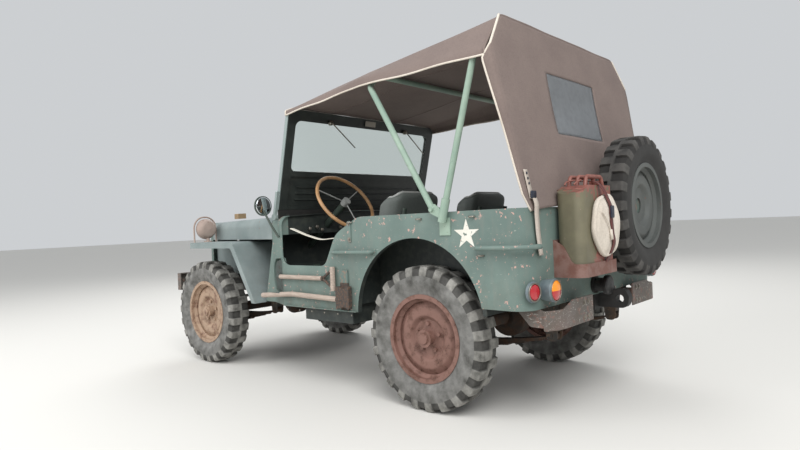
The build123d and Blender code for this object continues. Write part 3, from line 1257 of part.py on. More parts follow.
def pedals():
    """Three pedals on arms that come square out of the toe board."""
    board = Vector(0, DOOR_FRONT_Y - 30 - COWL_FRONT_Y, FLOOR_Z - FIREWALL_Z).normalized()
    square = Vector(0, -board.Z, board.Y)
    middle = Vector(0, (COWL_FRONT_Y + DOOR_FRONT_Y - 30) / 2, (FLOOR_Z + FIREWALL_Z) / 2)
    parts = []
    for x in PEDALS_X:
        foot = middle + Vector(x, 0, 0) + square * (PANEL + 3)
        tip = foot + square * 90
        pad = Plane(origin=tip, x_dir=(1, 0, 0), z_dir=square) * Rectangle(54, 60)
        parts.append(bar(foot, tip, 7) + extrude(pad, amount=8))
    return parts


def levers():
    """Gear lever and the two transfer levers with their round knobs."""
    parts = []
    for x, y, height in LEVERS:
        foot = (x, DOOR_FRONT_Y + y, FLOOR_Z + PANEL + 4)
        knob = (x, DOOR_FRONT_Y + y + 60, FLOOR_Z + height)
        parts.append(bar(foot, knob, 8) + Pos(*knob) * Sphere(20))
    return parts


# Rear equipment, tools and lamps

def spare_place():
    return Pos(SPARE_X, TAIL_Y + SPARE_GAP + TYRE_WIDTH / 2, SPARE_Z) * Rot(0, 0, 90)


def rear_carriers():
    """Spare wheel carrier and the jerrycan's tray, both on the tailboard."""
    y = TAIL_Y + 0.2
    boss_y = TAIL_Y + SPARE_GAP + TYRE_WIDTH / 2 + 4
    plate = block((SPARE_X - 150, y, 800), (SPARE_X + 150, y + 8, 960))
    arm = bar((SPARE_X, y + 4, SPARE_Z - 60), (SPARE_X, boss_y, SPARE_Z - 60), 22)
    flange = bar((SPARE_X, boss_y, SPARE_Z), (SPARE_X, boss_y - 14, SPARE_Z), 88)
    carrier = plate + arm + flange
    low, high = CAN_LOW_X - 28, CAN_LOW_X + CAN_WIDTH + 7
    near, far = TAIL_Y + 0.2, TAIL_Y + CAN_GAP + CAN_DEPTH + 7
    outside = along_z([(low, near, 0), (high, near, 0), (high, far, 45), (low, far, 45)], CAN_Z - 8, CAN_Z + 160)
    inside = along_z([(low + 4, near + 4, 0), (high - 4, near + 4, 0), (high - 4, far - 4, 41), (low + 4, far - 4, 41)],
                     CAN_Z - 4, CAN_Z + 161)
    side = along_x([(near - 1, CAN_Z - 9, 0), (far + 1, CAN_Z - 9, 0), (far + 1, CAN_Z + 52, 0),
                    (near + 92, CAN_Z + 52, 30), (near + 50, CAN_Z + 132, 50), (near + 4, CAN_Z + 161, 0),
                    (near - 1, CAN_Z + 161, 0)], low - 1, high + 1)
    return carrier, (outside - inside) & side


def jerrycan():
    near = TAIL_Y + CAN_GAP
    body = along_z([(CAN_LOW_X, near, CAN_ROUND), (CAN_LOW_X + CAN_WIDTH, near, CAN_ROUND),
                    (CAN_LOW_X + CAN_WIDTH, near + CAN_DEPTH, CAN_ROUND), (CAN_LOW_X, near + CAN_DEPTH, CAN_ROUND)],
                   CAN_Z - 3.5, CAN_Z + CAN_HEIGHT)
    slope = along_y([(CAN_LOW_X - 1, CAN_Z - 10, 0), (CAN_LOW_X + CAN_WIDTH + 1, CAN_Z - 10, 0),
                     (CAN_LOW_X + CAN_WIDTH + 1, CAN_Z + CAN_HEIGHT - 35, 0),
                     (CAN_LOW_X + CAN_WIDTH - 90, CAN_Z + CAN_HEIGHT + 5, 30),
                     (CAN_LOW_X - 1, CAN_Z + CAN_HEIGHT + 5, 0)], near - 5, near + CAN_DEPTH + 5)
    can = body & slope
    top = CAN_Z + CAN_HEIGHT
    for share in (0.2, 0.5, 0.8):
        y = near + CAN_DEPTH * share
        handle = tube([(CAN_LOW_X + 60, y, top - 4), (CAN_LOW_X + 76, y, top + 42),
                       (CAN_LOW_X + 232, y, top + 42), (CAN_LOW_X + 250, y, top - 10)], 9, 22)
        can = can + handle
    return can + block((CAN_LOW_X + 12, near + 32, top - 10), (CAN_LOW_X + 46, near + 80, top + 26))


def canvas_bucket():
    """Folded canvas bucket strapped on the can's rear face."""
    y = TAIL_Y + CAN_GAP + CAN_DEPTH + 0.5
    face = Ellipse(BUCKET_HALF_WIDTH, BUCKET_HALF_HEIGHT)
    plane = Plane(origin=(BUCKET_X, y + BUCKET_THICK, BUCKET_Z), x_dir=(1, 0, 0), z_dir=(0, -1, 0))
    return extrude(plane * face, amount=BUCKET_THICK)


def shovel():
    """Shovel with its blade forward in the cowl's pocket, its shaft along the body and a forked grip."""
    x, y, z = BODY_HALF_WIDTH + 18, DOOR_FRONT_Y, SHOVEL_Z
    face = outline([(26, z - 82, 70), (184, z - 98, 14), (184, z + 98, 14), (26, z + 82, 70)])
    blade = extrude(side_plane().offset(-9) * face, amount=4)
    foot = side_plane() * Pos(120, z, 0)
    shaft = tube([tuple(foot.position), (x, y - 24, z), (x, y + 385, z)], 13, 60)
    fork = [bar((x, y + 378, z), (x, y + 462, z + sign * 52), 8) for sign in (-1, 1)]
    return blade + shaft + fork[0] + fork[1] + bar((x, y + 462, z - 66), (x, y + 462, z + 66), 14)


def axe():
    x = BODY_HALF_WIDTH + 20
    y = DOOR_FRONT_Y
    handle = tube([(x, y - 190, 530), (x, y + 100, 550), (x, y + 540, 538)], 15, 300)
    head = along_x([(y + 496, 486, 6), (y + 560, 504, 0), (y + 598, 484, 10), (y + 598, 622, 10),
                    (y + 560, 600, 0), (y + 496, 612, 6)], x - 11, x + 13)
    clamp = block((BODY_HALF_WIDTH + 0.2, y + 510, SILL_Z + 8), (BODY_HALF_WIDTH + 8.8, y + 570, 700))
    return handle + head + clamp


HANDLE_R = 10.5
HANDLE_REACH = 32.0


def body_handles():
    """Grab handles: one on each side by the door, one round each rear corner."""
    inside, out = BODY_HALF_WIDTH + 0.2, BODY_HALF_WIDTH + HANDLE_REACH
    start, end, z = REAR_AXLE_Y - 555, REAR_AXLE_Y - 267, 796
    side = tube([(inside, start, z), (out, start, z), (out, end, z), (inside, end, z)], HANDLE_R, 14)
    for y in (start, end):
        side = side + block((inside, y - 20, z - 13), (inside + 4, y + 20, z + 13))
    start, z = REAR_AXLE_Y + 390, 815
    inner, tail = BODY_HALF_WIDTH - TAIL_CORNER_R + 14, TAIL_Y + HANDLE_REACH
    path = route([(inside, start, 0), (out, start, 14), (out, tail, TAIL_CORNER_R + HANDLE_REACH - 16),
                  (inner, tail, 14), (inner, TAIL_Y + 0.4, 0)], z)
    corner = sweep(Plane(origin=path @ 0, z_dir=path % 0) * Circle(HANDLE_R), path=path)
    return both_sides(side) + both_sides(corner)


LAMP_Z = 622.0


def tail_lamp():
    """Left tail lamp drum and the round reflector that faces rearwards at the corner."""
    y = TAIL_Y + 0.3
    drum = revolve(outline([(0, 0, 0), (44, 0, 0), (52, 54, 6), (46, 60, 6), (0, 62, 0)]), Axis.Y)
    lamp = Pos(595, y, LAMP_Z) * drum
    x = BODY_HALF_WIDTH - 46
    plate = revolve(outline([(0, 0, 0), (42, 0, 0), (46, 4, 0), (44, 15, 4), (0, 17, 0)]), Axis.Y)
    plate = Pos(x, TAIL_Y - 5, LAMP_Z) * Rot(0, 0, -10) * plate
    stub = bar((x - 4, TAIL_Y - 40, LAMP_Z), (x, TAIL_Y - 2, LAMP_Z), 14)
    reflector = plate + (stub - along_z(body_plan(-0.2), LAMP_Z - 60, LAMP_Z + 60))
    return lamp, reflector


def trailer_socket():
    y = TAIL_Y + 0.3
    body = revolve(outline([(0, 0, 0), (44, 0, 0), (44, 12, 0), (34, 14, 0), (34, 56, 0), (48, 58, 6),
                            (48, 84, 10), (0, 88, 0)]), Axis.Y)
    return Pos(78, y, 592) * body


def mirror_and_arm():
    """Round mirror on its arm, which stands on the cowl's left side by the windscreen."""
    x, y, z = BODY_HALF_WIDTH + 17, SCREEN_Y - 60, 1082.0
    foot = SCREEN_Y + 50
    glass = Pos(x, y, z) * Rot(90, 0, 0) * Cylinder(61, 12)
    arm = tube([(cowl_side(foot) + 7.2, foot, 885), (cowl_side(foot) + 30, SCREEN_Y + 10, 960),
                (x, y + 4, z - 30)], 7, 60)
    return glass + arm


def door_strap():
    """Flat webbing strap across the left door opening."""
    y = DOOR_FRONT_Y
    x = BODY_HALF_WIDTH - 18
    strap = along_x([(y + 62, 934, 0), (y + 200, 892, 300), (y + 330, 862, 300), (y + 470, 872, 0),
                     (y + 470, 876, 0), (y + 330, 866, 300), (y + 200, 896, 300), (y + 62, 938, 0)],
                    x - 22, x + 3)
    return strap


# Write every node

write("frame_rails", frame_rails())
write("bumpers", front_bumper(), *both_sides(bumperette()))
write("pintle_hook", pintle_hook())
write("front_axle", front_axle())
write("rear_axle", rear_axle())
springs = []
for row in SPRINGS:
    springs.extend(both_sides(leaf_spring(*row)))
write("leaf_springs", *springs)
write("engine_block", *engine_block())
write("propeller_shafts", *propeller_shafts())
write("exhaust", exhaust())
write("body_tub", body_tub())
write("cowl", cowl())
write("bonnet", bonnet())
write("bonnet_blocks", *both_sides(bonnet_blocks()))
write("grille", grille())
write("headlamps", *both_sides(headlamp()))
write("front_wings", *both_sides(wing()))
write("driving_lamp", *driving_lamp())
write("windscreen_frame", windscreen_frame())
write("windscreen_glass", windscreen_glass())
write("canvas_top", canvas_top())
write("curtain_window", curtain_sheet(CURTAIN_PANE, 1.5, 4.5))
write("top_bows", top_bows())
write("front_seat_pads", *[pad for seat in SEATS for pad in seat_pads(*seat)])
write("rear_seat_pads", *rear_pads())
write("seat_frames", *[seat_frame(*seat) for seat in SEATS], rear_seat_frame())
write("fuel_tank", fuel_tank())
write("steering_wheel", steering_wheel())
write("steering_column", steering_column())
write("pitman_arm", pitman_arm())
write("bellcrank", bellcrank())
write("tie_rods", tie_rods())
write("drag_link", drag_link())
write("pedals_levers", *pedals(), *levers())
write("spare_tyre", spare_place() * tyre())
write("spare_wheel", spare_place() * spare_disc_wheel())
write("rear_carriers", *rear_carriers())
write("jerrycan", jerrycan())
write("canvas_bucket", canvas_bucket())
write("shovel_and_axe", shovel(), axe())
write("body_handles", *body_handles())
left_lamp, left_reflector = tail_lamp()
write("tail_lamps_socket", *both_sides(left_lamp), *both_sides(left_reflector), trailer_socket())
write("mirror", mirror_and_arm())
write("door_strap", door_strap())
write("knuckle_left", knuckle())
write("knuckle_right", mirrored(knuckle()))
for name, side, y in WHEELS:
    write(f"tyre_{name}", wheel_place(side, y) * tyre())
    write(f"wheel_{name}", wheel_place(side, y) * road_wheel())
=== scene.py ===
import math

import bpy
import numpy as np
from mathutils import Matrix, Vector


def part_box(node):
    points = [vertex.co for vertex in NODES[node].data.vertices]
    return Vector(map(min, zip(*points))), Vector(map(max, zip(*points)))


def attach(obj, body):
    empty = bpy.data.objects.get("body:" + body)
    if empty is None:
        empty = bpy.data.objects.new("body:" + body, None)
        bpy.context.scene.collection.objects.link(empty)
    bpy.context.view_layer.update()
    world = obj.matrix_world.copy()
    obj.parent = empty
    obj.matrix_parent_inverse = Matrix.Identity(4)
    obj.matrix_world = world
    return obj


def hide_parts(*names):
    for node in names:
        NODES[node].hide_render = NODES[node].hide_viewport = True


# Looks of the army 4x4 car, in metres, in the CAD model's frame.
# +X is the driver's (left) side, the front faces -Y and +Z is up.

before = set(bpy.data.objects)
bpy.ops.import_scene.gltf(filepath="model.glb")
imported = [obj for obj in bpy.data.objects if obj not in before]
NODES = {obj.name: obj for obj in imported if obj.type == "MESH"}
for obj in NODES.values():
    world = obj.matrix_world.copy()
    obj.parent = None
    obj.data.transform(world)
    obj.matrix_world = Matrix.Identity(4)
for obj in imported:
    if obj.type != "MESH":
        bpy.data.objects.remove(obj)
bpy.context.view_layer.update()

# Places worked out from the CAD nodes
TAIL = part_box("body_tub")[1].y
RAIL_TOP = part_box("body_tub")[1].z
TYRE_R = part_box("tyre_rear_left")[1].z / 2
REAR_AXLE = (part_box("tyre_rear_left")[0].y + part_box("tyre_rear_left")[1].y) / 2
FRONT_AXLE = (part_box("tyre_front_left")[0].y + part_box("tyre_front_left")[1].y) / 2
DOOR_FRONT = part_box("cowl")[1].y
CAN_LOW, CAN_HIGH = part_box("jerrycan")
BUCKET_LOW, BUCKET_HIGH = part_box("canvas_bucket")

# Side face of the tub; its box reaches further out, to the rolled lips of its arches
BODY_SIDE = 0.735
# Height of the tail lamps and reflectors, and the tail lamps' place from the middle
LAMP_Z = 0.622
TAIL_LAMP_X = 0.595


# Colours and shader helpers

def colour(text):
    """Linear RGBA of an sRGB hex colour."""
    parts = [int(text[i:i + 2], 16) / 255 for i in (1, 3, 5)]
    linear = [c / 12.92 if c <= 0.04045 else ((c + 0.055) / 1.055) ** 2.4 for c in parts]
    return (*linear, 1.0)


class Shader:
    """One node-based material on object coordinates."""

    def __init__(self, name):
        self.material = bpy.data.materials.new(name)
        self.material.use_nodes = True
        self.tree = self.material.node_tree
        self.surface = self.tree.nodes["Principled BSDF"]
        self.place = self.add("TexCoord", {}, "Object")
        self.axes = self.add("SeparateXYZ", {"Vector": self.place}).node.outputs

    def add(self, kind, inputs, output=0, **settings):
        """New node with its settings, and its inputs by name or number; gives one of its outputs."""
        node = self.tree.nodes.new("ShaderNode" + kind)
        for name, value in settings.items():
            setattr(node, name, value)
        for name, source in inputs.items():
            self.fill(node.inputs[name], source)
        return node.outputs[output]

    def fill(self, socket, source):
        """Set a socket from another node's output, a hex colour or a number."""
        if hasattr(source, "is_output"):
            self.tree.links.new(source, socket)
        else:
            socket.default_value = colour(source) if isinstance(source, str) else source

    def noise(self, size_mm, detail, roughness=0.55, stretch=(1, 1, 1)):
        """Noise whose blotches are about size_mm across, from 0 to 1."""
        place = self.add("Mapping", {"Vector": self.place, "Scale": stretch})
        return self.add("TexNoise", {"Vector": place, "Scale": 1000.0 / size_mm, "Detail": detail,
                                     "Roughness": roughness}, "Fac")

    def spots(self, low, high, *noise):
        """Share from 0 to 1 in soft-edged spots: noise as the value, ramped between low and high."""
        return self.add("MapRange", {0: self.noise(*noise), 1: low, 2: high})

    def coats(self, tone, *layers):
        """Colour of a base with coats over it, each a share from 0 to 1 and its colour."""
        # Inputs 6 and 7 and output 2 of the node are its colours
        for share, over in layers:
            tone = self.add("Mix", {0: share, 6: tone, 7: over}, 2, data_type="RGBA")
        return tone

    def times(self, share, *others):
        """Product of shares, so a mask where all of them are on."""
        for other in others:
            share = self.add("Math", {0: share, 1: other}, operation="MULTIPLY")
        return share

    def above(self, name, limit):
        """1 where the coordinate in metres is over the limit, else 0."""
        return self.add("Math", {0: self.axes[name], 1: limit}, operation="GREATER_THAN")

    def below(self, name, limit):
        """1 where the coordinate in metres is under the limit, else 0."""
        return self.add("Math", {0: self.axes[name], 1: limit}, operation="LESS_THAN")

    def narrower(self, limit):
        """1 where the distance from the car's middle plane is under the limit, else 0."""
        distance = self.add("Math", {0: self.axes["X"]}, operation="ABSOLUTE")
        return self.add("Math", {0: distance, 1: limit}, operation="LESS_THAN")

    def relief(self, height, depth_mm):
        """Relief of the surface: a height from 0 to 1 is depth_mm deep."""
        normal = self.add("Bump", {"Height": height, "Distance": depth_mm / 1000.0, "Strength": 1.0})
        self.fill(self.surface.inputs["Normal"], normal)

    def finish(self, base, roughness=0.6, metallic=0.0, **others):
        """Colour, roughness and other sockets of the surface; gives the material."""
        others.update(Base_Color=base, Roughness=roughness, Metallic=metallic)
        for socket, value in others.items():
            self.fill(self.surface.inputs[socket.replace("_", " ")], value)
        return self.material


def worn_paint(name, base, faded, under, chips=0.66, mud=0.0, mud_top=0.75, rough=0.62, inside=False):
    """Old matt paint: faded in clouds, chipped where noise passes the chips limit, sooner near the tub's rail,
    and dirty from mud_top downwards; inside adds painted shade, a near-black green, on the tub's inner faces."""
    s = Shader(name)
    clouds = s.coats(base, (s.spots(0.35, 0.68, 260, 4), faded))
    streaks = s.spots(0.5, 0.8, 34, 5, 0.6, (1, 1, 0.25))
    tone = s.coats(clouds, (s.times(streaks, 0.08), under))
    rubbed = s.times(s.add("MapRange", {0: s.axes["Z"], 1: RAIL_TOP - 0.05, 2: RAIL_TOP - 0.005}), 0.05)
    ragged = s.add("Math", {0: s.noise(24, 6, 0.65), 1: rubbed}, operation="ADD")
    chip = s.times(s.add("MapRange", {0: ragged, 1: chips, 2: chips + 0.015}), s.spots(0.42, 0.50, 150, 2))
    chipped = s.coats(tone, (chip, under))
    scratch = s.spots(chips + 0.05, chips + 0.07, 9, 5, 0.7, (1, 0.3, 1.6))
    bare = s.coats(chipped, (s.times(scratch, 0.7), "#c9c6bd"))
    low = s.add("Math", {0: 1.0, 1: s.add("MapRange", {0: s.axes["Z"], 1: 0.30, 2: mud_top})}, operation="SUBTRACT")
    dirt = s.times(low, s.spots(0.40, 0.62, 60, 6, 0.65), mud)
    dirty = s.coats(bare, (dirt, "#5a4636"))
    # Painted shade on the tub's inner faces and the panel
    if inside:
        dirty = inner_shade(s, dirty)
    s.relief(s.add("Math", {0: s.noise(14, 6, 0.7), 1: s.noise(120, 2)}, operation="ADD"), 0.5)
    return s.finish(dirty, s.add("Math", {0: s.times(dirt, 0.3), 1: rough}, operation="ADD"))


def inner_shade(s, outside):
    """Painted shade, a near-black green, on the faces inside the tub and on the panel; the outside paint elsewhere."""
    inner = s.times(s.narrower(BODY_SIDE - 0.0005), s.above("Y", DOOR_FRONT + 0.004), s.below("Y", TAIL - 0.13),
                    s.below("Z", RAIL_TOP - 0.004))
    panel = s.times(s.narrower(0.672), s.above("Y", DOOR_FRONT - 0.05))
    toe = s.times(s.narrower(0.60), s.above("Z", 0.455))
    front = s.times(s.add("Math", {0: panel, 1: toe}, operation="MAXIMUM"), s.below("Z", 1.035),
                    s.below("Y", DOOR_FRONT + 0.02))
    # Near-black green in blotches: the painted shade of the tub's inside
    dark = s.coats("#272d2b", (s.spots(0.45, 0.65, 40, 5), "#363a35"))
    return s.coats(outside, (s.add("Math", {0: inner, 1: front}, operation="MAXIMUM"), dark))


def rusty(name, base, rust, spread, rough):
    """Painted or bare steel gone over with rust where noise passes spread, brown-black in its fine grain."""
    s = Shader(name)
    blotch = s.spots(spread - 0.08, spread + 0.08, 46, 6, 0.65)
    fine = s.coats(rust, (s.spots(0.4, 0.7, 7, 4, 0.7), "#3a2219"))
    s.relief(s.noise(6, 6, 0.7), 0.6)
    return s.finish(s.coats(base, (blotch, fine)), rough)


def woven(name, base, second, thread_mm=1.6, stain=0.5, rough=0.95):
    """Woven cloth: soft stains and dark specks, with waves across X and Z as its plain weave."""
    s = Shader(name)
    stained = s.coats(base, (s.times(s.spots(0.35, 0.70, 220, 5, 0.6), stain), second))
    tone = s.coats(stained, (s.times(s.spots(0.45, 0.75, 9, 4, 0.6), 0.18), "#2c2724"))
    waves = []
    for direction in ("X", "Z"):
        settings = {"Vector": s.place, "Scale": 1000.0 / thread_mm / 20.0}
        waves.append(s.add("TexWave", settings, "Fac", bands_direction=direction))
    s.relief(s.add("Math", {0: waves[0], 1: waves[1]}, operation="ADD"), 0.12)
    return s.finish(tone, rough)


def plain(name, base, rough=0.5, metallic=0.0, speck=None, **others):
    """Even finish with faint grime in the speck colour."""
    s = Shader(name)
    tone = s.coats(base, (s.times(s.spots(0.4, 0.8, 30, 5), 0.35), speck or base))
    return s.finish(tone, rough, metallic, **others)


def jerrycan_paint(name):
    """Olive paint, rubbed through to red primer on top and on the rear face but for a strip at its left."""
    s = Shader(name)
    olive = s.coats("#5f5b49", (s.spots(0.35, 0.7, 120, 4), "#706b56"))
    red = s.coats("#8d5a50", (s.spots(0.4, 0.7, 30, 5), "#7a4a40"))
    ragged = s.times(s.add("Math", {0: s.noise(38, 5), 1: 0.5}, operation="SUBTRACT"), 0.16)
    limits = (("Z", CAN_HIGH.z - 0.080, CAN_HIGH.z - 0.066), ("Y", CAN_HIGH.y - 0.022, CAN_HIGH.y - 0.014),
              ("X", CAN_HIGH.x - 0.13, CAN_HIGH.x - 0.11))
    top, rear, left = (
        s.add("MapRange", {0: s.add("Math", {0: s.axes[axis], 1: ragged}, operation="ADD"), 1: low, 2: high})
        for axis, low, high in limits)
    share = s.add("Math", {0: top, 1: s.add("Math", {0: rear, 1: left}, operation="SUBTRACT")}, operation="MAXIMUM")
    s.relief(s.add("Math", {0: s.noise(70, 2), 1: s.times(s.noise(8, 5), 0.2)}, operation="ADD"), 2.2)
    return s.finish(s.coats(olive, (share, red), (s.spots(0.68, 0.70, 12, 6, 0.7), "#9a8378")), 0.5)


def wood_grain(s, pale, dark):
    """Two wood colours in fine noise drawn out along Y, which also gives the relief."""
    grain = s.noise(5, 6, 0.7, (1, 0.08, 1))
    s.relief(grain, 0.4)
    return s.coats(pale, (s.add("MapRange", {0: grain, 1: 0.35, 2: 0.7}), dark))


def block_wood(name, pale, dark):
    """Bare wood with its grain along the car."""
    s = Shader(name)
    return s.finish(wood_grain(s, pale, dark), 0.8)


def tool_finish(name, pale, dark):
    """Ash handles with the shovel's painted blade at the front, darkened as painted shade of its recess, and the axe's
    dark head at the rear.
    """
    s = Shader(name)
    head_low = 0.63
    handle = wood_grain(s, pale, dark)
    blade = s.times(s.below("Y", DOOR_FRONT - 0.008), s.above("Z", 0.551))
    # Blade colour darkened as painted shade of the recess it sits in
    painted = s.coats("#434c48", (s.spots(0.55, 0.62, 20, 5), "#3c342e"))
    rear = s.above("Y", DOOR_FRONT + 0.492)
    iron = s.coats("#3c3733", (s.spots(0.45, 0.6, 12, 5), "#5a4436"))
    fork = s.times(s.above("Y", DOOR_FRONT + 0.372), s.below("Y", DOOR_FRONT + 0.447), s.above("Z", 0.585))
    metal = s.add("Math", {0: s.times(rear, s.below("Z", head_low)), 1: fork}, operation="MAXIMUM")
    clamp = s.times(rear, s.above("Z", head_low))
    green = s.coats("#5c6e68", (s.spots(0.5, 0.6, 20, 5), "#7d6f62"))
    return s.finish(s.coats(handle, (blade, painted), (metal, iron), (clamp, green)), 0.75)


def screen_finish(name):
    """Windscreen frame: black-green inside, and a pale grey-green painted highlight on its outer edges."""
    s = Shader(name)
    inner = s.narrower(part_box("windscreen_frame")[1].x - 0.023)
    dark = s.coats("#242927", (s.spots(0.4, 0.7, 60, 5), "#303532"))
    s.relief(s.noise(14, 5, 0.6), 0.3)
    # The pale grey-green base left on the outer edges is a painted highlight
    return s.finish(s.coats("#84908e", (inner, dark)), 0.5)


def bow_finish(name):
    """Pale green bows whose rear pair stands in dark olive channels at the rail."""
    s = Shader(name)
    pale = s.coats("#7d9486", (s.spots(0.35, 0.7, 120, 4), "#93a696"))
    chipped = s.coats(pale, (s.spots(0.66, 0.68, 13, 6, 0.7), "#5b4a40"))
    olive = s.coats("#434a40", (s.spots(0.5, 0.62, 20, 5), "#57493c"))
    channel = s.times(s.below("Z", RAIL_TOP + 0.105), s.above("Y", REAR_AXLE + 0.3))
    s.relief(s.noise(14, 6, 0.7), 0.4)
    return s.finish(s.coats(chipped, (channel, olive)), 0.62)


def carrier_finish(name):
    """Rusty can tray on the left, dark painted spare wheel carrier on the right."""
    s = Shader(name)
    rust = s.coats("#7b5f57", (s.spots(0.42, 0.58, 46, 6, 0.65), "#6d4a40"))
    green = s.coats("#4c5a54", (s.spots(0.5, 0.66, 30, 5), "#6e5a50"))
    s.relief(s.noise(6, 6, 0.7), 0.5)
    return s.finish(s.coats(green, (s.above("X", 0.1), rust)), 0.65)


def rim_finish(name):
    """Tan rim, and bare steel within the sphere round the wheel's middle that stops at the rim."""
    s = Shader(name)
    low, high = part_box("steering_wheel")
    middle = (low + high) / 2
    squares = []
    for axis, place in (("X", middle.x), ("Y", middle.y), ("Z", middle.z)):
        away = s.add("Math", {0: s.axes[axis], 1: place}, operation="SUBTRACT")
        squares.append(s.times(away, away))
    square = s.add("Math", {0: squares[0], 1: squares[1]}, operation="ADD")
    square = s.add("Math", {0: square, 1: squares[2]}, operation="ADD")
    spokes = s.add("Math", {0: square, 1: ((high.x - low.x) / 2 - 0.027) ** 2}, operation="LESS_THAN")
    tan = s.coats("#b58c62", (s.spots(0.4, 0.7, 40, 4), "#97734f"))
    return s.finish(s.coats(tan, (spokes, "#8f918e")), 0.4)


def lamp_finish(name):
    """Blue-grey lamp drums at the sides and the black trailer socket in the middle."""
    s = Shader(name)
    grey = s.coats("#59656a", (s.spots(0.4, 0.7, 30, 5), "#6c777a"))
    black = s.coats("#161616", (s.spots(0.5, 0.65, 14, 5), "#2c2a27"))
    return s.finish(s.coats(grey, (s.narrower(0.2), black)), 0.45)


def lens_glass(name, split_z, upper, lower):
    """Moulded lamp lens in two colours, one above the other, glowing faintly as if lit from behind."""
    s = Shader(name)
    tint = s.coats(lower, (s.above("Z", split_z), upper))
    s.relief(s.noise(6, 1), 0.6)
    return s.finish(tint, 0.12, Coat_Weight=0.6, Emission_Color=tint, Emission_Strength=0.12)


def tyre_tread(name, rubber, dust, side_dust, share):
    """Rubber with dust on the lugs' faces and on the side walls, and painted shade darkening the grooves between the
    lugs.
    """
    s = Shader(name)
    cover = s.times(s.spots(0.25, 0.75, 60, 5, 0.6), share)
    wall, groove = (s.add("Attribute", {}, "Fac", attribute_name=name) for name in ("wall", "groove"))
    dusty = s.coats(rubber, (cover, dust), (wall, s.coats(rubber, (cover, side_dust))))
    s.relief(s.noise(4, 5, 0.7), 0.35)
    # Near-black painted shade in the grooves between the lugs
    return s.finish(s.coats(dusty, (s.times(groove, 0.75), "#151413")), 0.88)


# The car's service paint: matt grey-green in faded clouds, chipped to pink primer, muddy low down
GREY_GREEN = ("#5c6e68", "#6d7f78", "#bb968b", 0.622, 0.4)
BODY_PAINT = worn_paint("worn_grey_green_paint", *GREY_GREEN)
# The same paint outside, and painted shade in nearly black green on the tub's inner faces and the panel
TUB_PAINT = worn_paint("grey_green_tub_painted_shade_inside", *GREY_GREEN, inside=True)
# Windscreen frame: black-green facing the cab, and a pale grey-green painted highlight on the outer edges
SCREEN_PAINT = screen_finish("dark_screen_paint_with_painted_highlight_edges")
# Bonnet and wings: a paler, dustier grey-green with few brown chips
WING_PAINT = worn_paint("sun_paled_green_paint", "#727e7d", "#879190", "#7b5f52", mud=0.3, chips=0.68)
# Bumpers: grey-brown, half of it worn to rust
BUMPER_PAINT = worn_paint("rust_rubbed_bumper_paint", "#5a5752", "#6c605b", "#7a5d54", chips=0.56, mud=0.4)
# Bows: pale milky green with brown chips
BOW_PAINT = bow_finish("pale_green_bow_paint")
# Lamp bodies, seat frames, tank and levers: very dark green with a dull sheen
DARK_PAINT = worn_paint("dark_green_inner_paint", "#2f3a33", "#3b463e", "#54382c", chips=0.69, rough=0.5)
# Frame: black paint mostly hidden by brown road dirt
FRAME_PAINT = worn_paint("dirty_black_frame_paint", "#2b2a27", "#3a3631", "#5a4636", chips=0.6, mud=0.9, mud_top=0.8)
# Fuel can: half-matt olive with red primer coming through on its top and rear face
CAN_PAINT = jerrycan_paint("olive_can_paint_over_red_primer")
# Driving lamp: dusty tan, chipped to brown
LAMP_PAINT = worn_paint("tan_lamp_paint", "#99877d", "#a9988f", "#6d5344", chips=0.7)
# Rear wheels: red-brown, rust and paint hard to tell apart
REAR_WHEEL = rusty("rusty_red_wheel_paint", "#7a5a50", "#6a4a3e", 0.56, 0.7)
# Front wheels: light tan with brown rust blotches
FRONT_WHEEL = rusty("tan_wheel_paint", "#a08873", "#8a6b57", 0.56, 0.7)
# Tail: red-brown rusty can tray, dark green carrier
CARRIER_PAINT = carrier_finish("rusty_tray_and_dark_carrier")
# Towing hook: nearly black with a few brown chips
HOOK_PAINT = worn_paint("black_hook_paint", "#1a1a19", "#242322", "#4a3a30", chips=0.7)
# Spare wheel: clean dark grey
SPARE_WHEEL = worn_paint("grey_wheel_paint", "#4a4d4b", "#5a5d5a", "#6a4a3a", chips=0.7)
# Exhaust: dull red-brown scale
RUST_SHEET = rusty("rusty_sheet_steel", "#7b5f57", "#6d4a40", 0.5, 0.65)
# Axles, springs, engine and steering arms: dark brown iron under dry mud, without sheen
MUDDY_IRON = rusty("muddy_cast_iron", "#3a322c", "#4c3a2c", 0.50, 0.9)
# Road tyres: dark rubber made light grey by dry mud
TYRE_RUBBER = tyre_tread("mud_dusted_tyre_rubber", "#3a3935", "#a3a19b", "#8a8986", 0.9)
# Spare tyre: clean dark rubber with a little dust on its lugs
SPARE_RUBBER = tyre_tread("clean_tyre_rubber", "#2a2928", "#6a6763", "#3c3b39", 0.6)
# Top: taupe cotton duck, dull, in soft stains
CANVAS = woven("taupe_cotton_canvas", "#7b6d67", "#695c58")
# Bucket and bindings: cream canvas with darker stains
CREAM_CANVAS = woven("cream_cotton_canvas", "#d8cfc3", "#b9ad9e", stain=0.6)
# Seats: coated grey-green cloth with a slight sheen
SEAT_CLOTH = woven("grey_green_seat_cloth", "#5d635f", "#4d534f", 1.2, 0.4, 0.6)
# Seat backs: rolled rim in light grey, a painted highlight of the seat cloth where its top catches the light
SEAT_RIM_HIGHLIGHT = woven("seat_rim_painted_highlight", "#a6a8a3", "#86898a", 1.2, 0.4, 0.6)
# Curtain strap: pale coarse cotton webbing
WEBBING = woven("pale_cotton_webbing", "#c3b8ad", "#a0958a", 2.2)
# Strap across the door opening: nearly white webbing
DOOR_WEBBING = woven("white_cotton_webbing", "#dcd8cc", "#c2bcac", 2.2)
# Tools: pale grey-brown ash with painted blade, darkened as painted shade of its recess, and dark iron
TOOL_WOOD = tool_finish("weathered_ash_and_painted_steel_with_painted_shade", "#b4a598", "#8b7b70")
